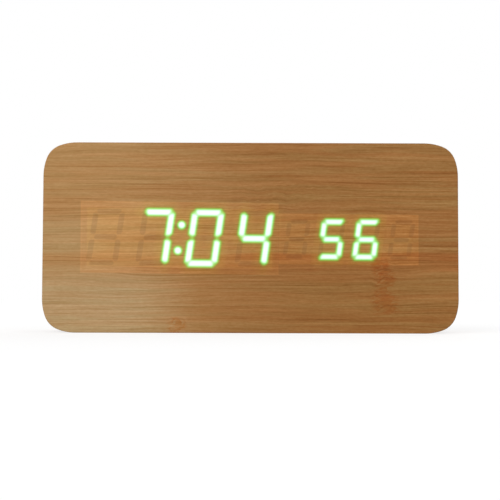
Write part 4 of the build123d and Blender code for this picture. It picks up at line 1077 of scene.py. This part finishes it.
# Screws: a domed head with a tapered cross recess, and a rolled thread
screwShape = {
    "headRadius": 2.2, "headHeight": 1.4, "rimHeight": 0.45, "crown": 0.12, "domeSteps": 6,
    "core": 0.82, "neck": 1.1, "neckLength": 0.5, "neckStep": 0.1, "tip": 1.5, "steps": 40,
    "thread": 1.13, "pitch": 0.85, "threadWidth": 0.5, "threadSink": 0.1, "threadSteps": 20,
    "crossHalf": 1.2, "crossWidth": 0.3, "crossDepth": 0.85, "crossTaper": 0.55, "above": 0.2,
}
screwLook = {
    "tones": ((74, 74, 77), (52, 52, 55)), "clouds": 1.2, "grain": 0.25,
    "speckle": 0.12, "depth": 0.008, "roughness": (0.46, 0.28), "metallic": 1.0,
}
screwGroups = (  # the piece, the node that it stands for, and the side that the heads face
    ("cover_fixings", "cover_screws", 1),
    ("display_board_fixings", "board_screws", 1),
    ("control_board_fixings", "control_screws", -1),
)


def screwBody(size, length):
    rise = size["headHeight"] - size["crown"] - size["rimHeight"]
    profile = [(-length, 0.0), (size["tip"] - length, size["core"]), (-size["neckLength"], size["core"]),
               (size["neckStep"] - size["neckLength"], size["neck"]), (0.0, size["neck"]),
               (0.0, size["headRadius"])]
    for step in range(size["domeSteps"] + 1):
        angle = math.pi / 2 * step / size["domeSteps"]
        profile.append((size["rimHeight"] + rise * math.sin(angle),
                        size["headRadius"] - rise * (1 - math.cos(angle))))
    profile.append((size["headHeight"], 0.0))
    return spinProfile(profile, size["steps"])


def crossCutter(size):  # a plus, narrower at its foot, from a grid of nine faces without its corners
    shape = bmesh.new()
    bmesh.ops.create_grid(shape, x_segments=3, y_segments=3, size=1)
    corners = [face for face in shape.faces if min(abs(c) for c in face.calc_center_median().xy) > 0.5]
    bmesh.ops.delete(shape, geom=corners, context="FACES")
    for vertex in shape.verts:
        for axis in (0, 1):
            half = size["crossWidth"] if abs(vertex.co[axis]) < 0.5 else size["crossHalf"]
            vertex.co[axis] = math.copysign(half, vertex.co[axis])
    made = bmesh.ops.extrude_face_region(shape, geom=shape.faces[:])["geom"]
    foot = [item for item in made if isinstance(item, bmesh.types.BMVert)]
    taper = size["crossTaper"]
    bmesh.ops.scale(shape, vec=(taper, taper, 1), verts=foot)
    bmesh.ops.translate(shape, vec=(0, 0, -size["crossDepth"] - size["above"]), verts=foot)
    bmesh.ops.recalc_face_normals(shape, faces=shape.faces)
    upright = Matrix.Rotation(math.pi / 2, 4, "Y")
    lift = Matrix.Translation((size["headHeight"] + size["above"], 0, 0))
    bmesh.ops.transform(shape, matrix=lift @ upright, verts=shape.verts)
    return shape


def threadRidge(size, length):  # a ridge that winds down the shank
    run = length - size["neckLength"] - size["tip"] - size["threadWidth"]
    turns = run / size["pitch"]
    half = size["threadWidth"] / 2
    start = -size["neckLength"] - half
    inner = size["core"] - size["threadSink"]
    shape = bmesh.new()
    corners = [shape.verts.new(place) for place in
               ((start + half, inner, 0), (start, size["thread"], 0), (start - half, inner, 0))]
    face = shape.faces.new(corners)
    steps = round(turns * size["threadSteps"])
    bmesh.ops.spin(shape, geom=[face, *face.edges, *corners], cent=(0, 0, 0), axis=(1, 0, 0),
                   dvec=(-run / steps, 0, 0), angle=2 * math.pi * turns, steps=steps)
    bmesh.ops.remove_doubles(shape, verts=shape.verts, dist=mergeWithin)
    bmesh.ops.recalc_face_normals(shape, faces=shape.faces)
    return shape


def screwMesh(size, length):  # head and shank with the recess cut in, and the thread
    body = addObject("screwBody", takeMesh("screwBody", screwBody(size, length)))
    cutter = addObject("screwCutter", takeMesh("screwCutter", crossCutter(size)))
    cut = body.modifiers.new("recess", "BOOLEAN")
    cut.object = cutter
    cut.operation = "DIFFERENCE"
    cut.solver = "EXACT"
    whole = bmesh.new()
    whole.from_object(body, bpy.context.evaluated_depsgraph_get())
    ridge = takeMesh("screwThread", threadRidge(size, length))
    whole.from_mesh(ridge)
    spareMeshes = (body.data, cutter.data, ridge)
    for piece in (body, cutter):
        bpy.data.objects.remove(piece)
    for mesh in spareMeshes:
        bpy.data.meshes.remove(mesh)
    return whole


# One group of alike screws, which stand at the corners of the node's box and are as long as it is deep
def makeScrews(name, node, headSide, material):
    low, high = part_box(node)
    reach, headHeight = screwShape["headRadius"] * mm, screwShape["headHeight"]
    seat = (high.y if headSide > 0 else low.y) - headSide * headHeight * mm
    single = takeMesh("single", screwMesh(screwShape, (high.y - low.y) / mm - headHeight))
    group = bmesh.new()
    for x in (low.x + reach, high.x - reach):
        for z in (low.z + reach, high.z - reach):
            turn = Matrix.Rotation(headSide * math.pi / 2, 4, "Z")
            spin = Matrix.Rotation(x / mm + 2 * z / mm, 4, "X")  # each stands at its own angle
            place = Matrix.Translation((x, seat, z)) @ turn @ spin @ Matrix.Scale(mm, 4)
            copy = bmesh.new()
            copy.from_mesh(single)
            bmesh.ops.transform(copy, matrix=place, verts=copy.verts)
            placed = takeMesh("placed", copy)
            group.from_mesh(placed)
            bpy.data.meshes.remove(placed)
    bpy.data.meshes.remove(single)
    piece = meshPiece(name, group, material)
    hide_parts(node)
    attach(piece, "case")


screwSteel = finishMaterial("blackenedScrews", screwLook)[0]
for groupName, groupNode, groupSide in screwGroups:
    makeScrews(groupName, groupNode, groupSide, screwSteel)
print("screws:", len(screwGroups), "groups")
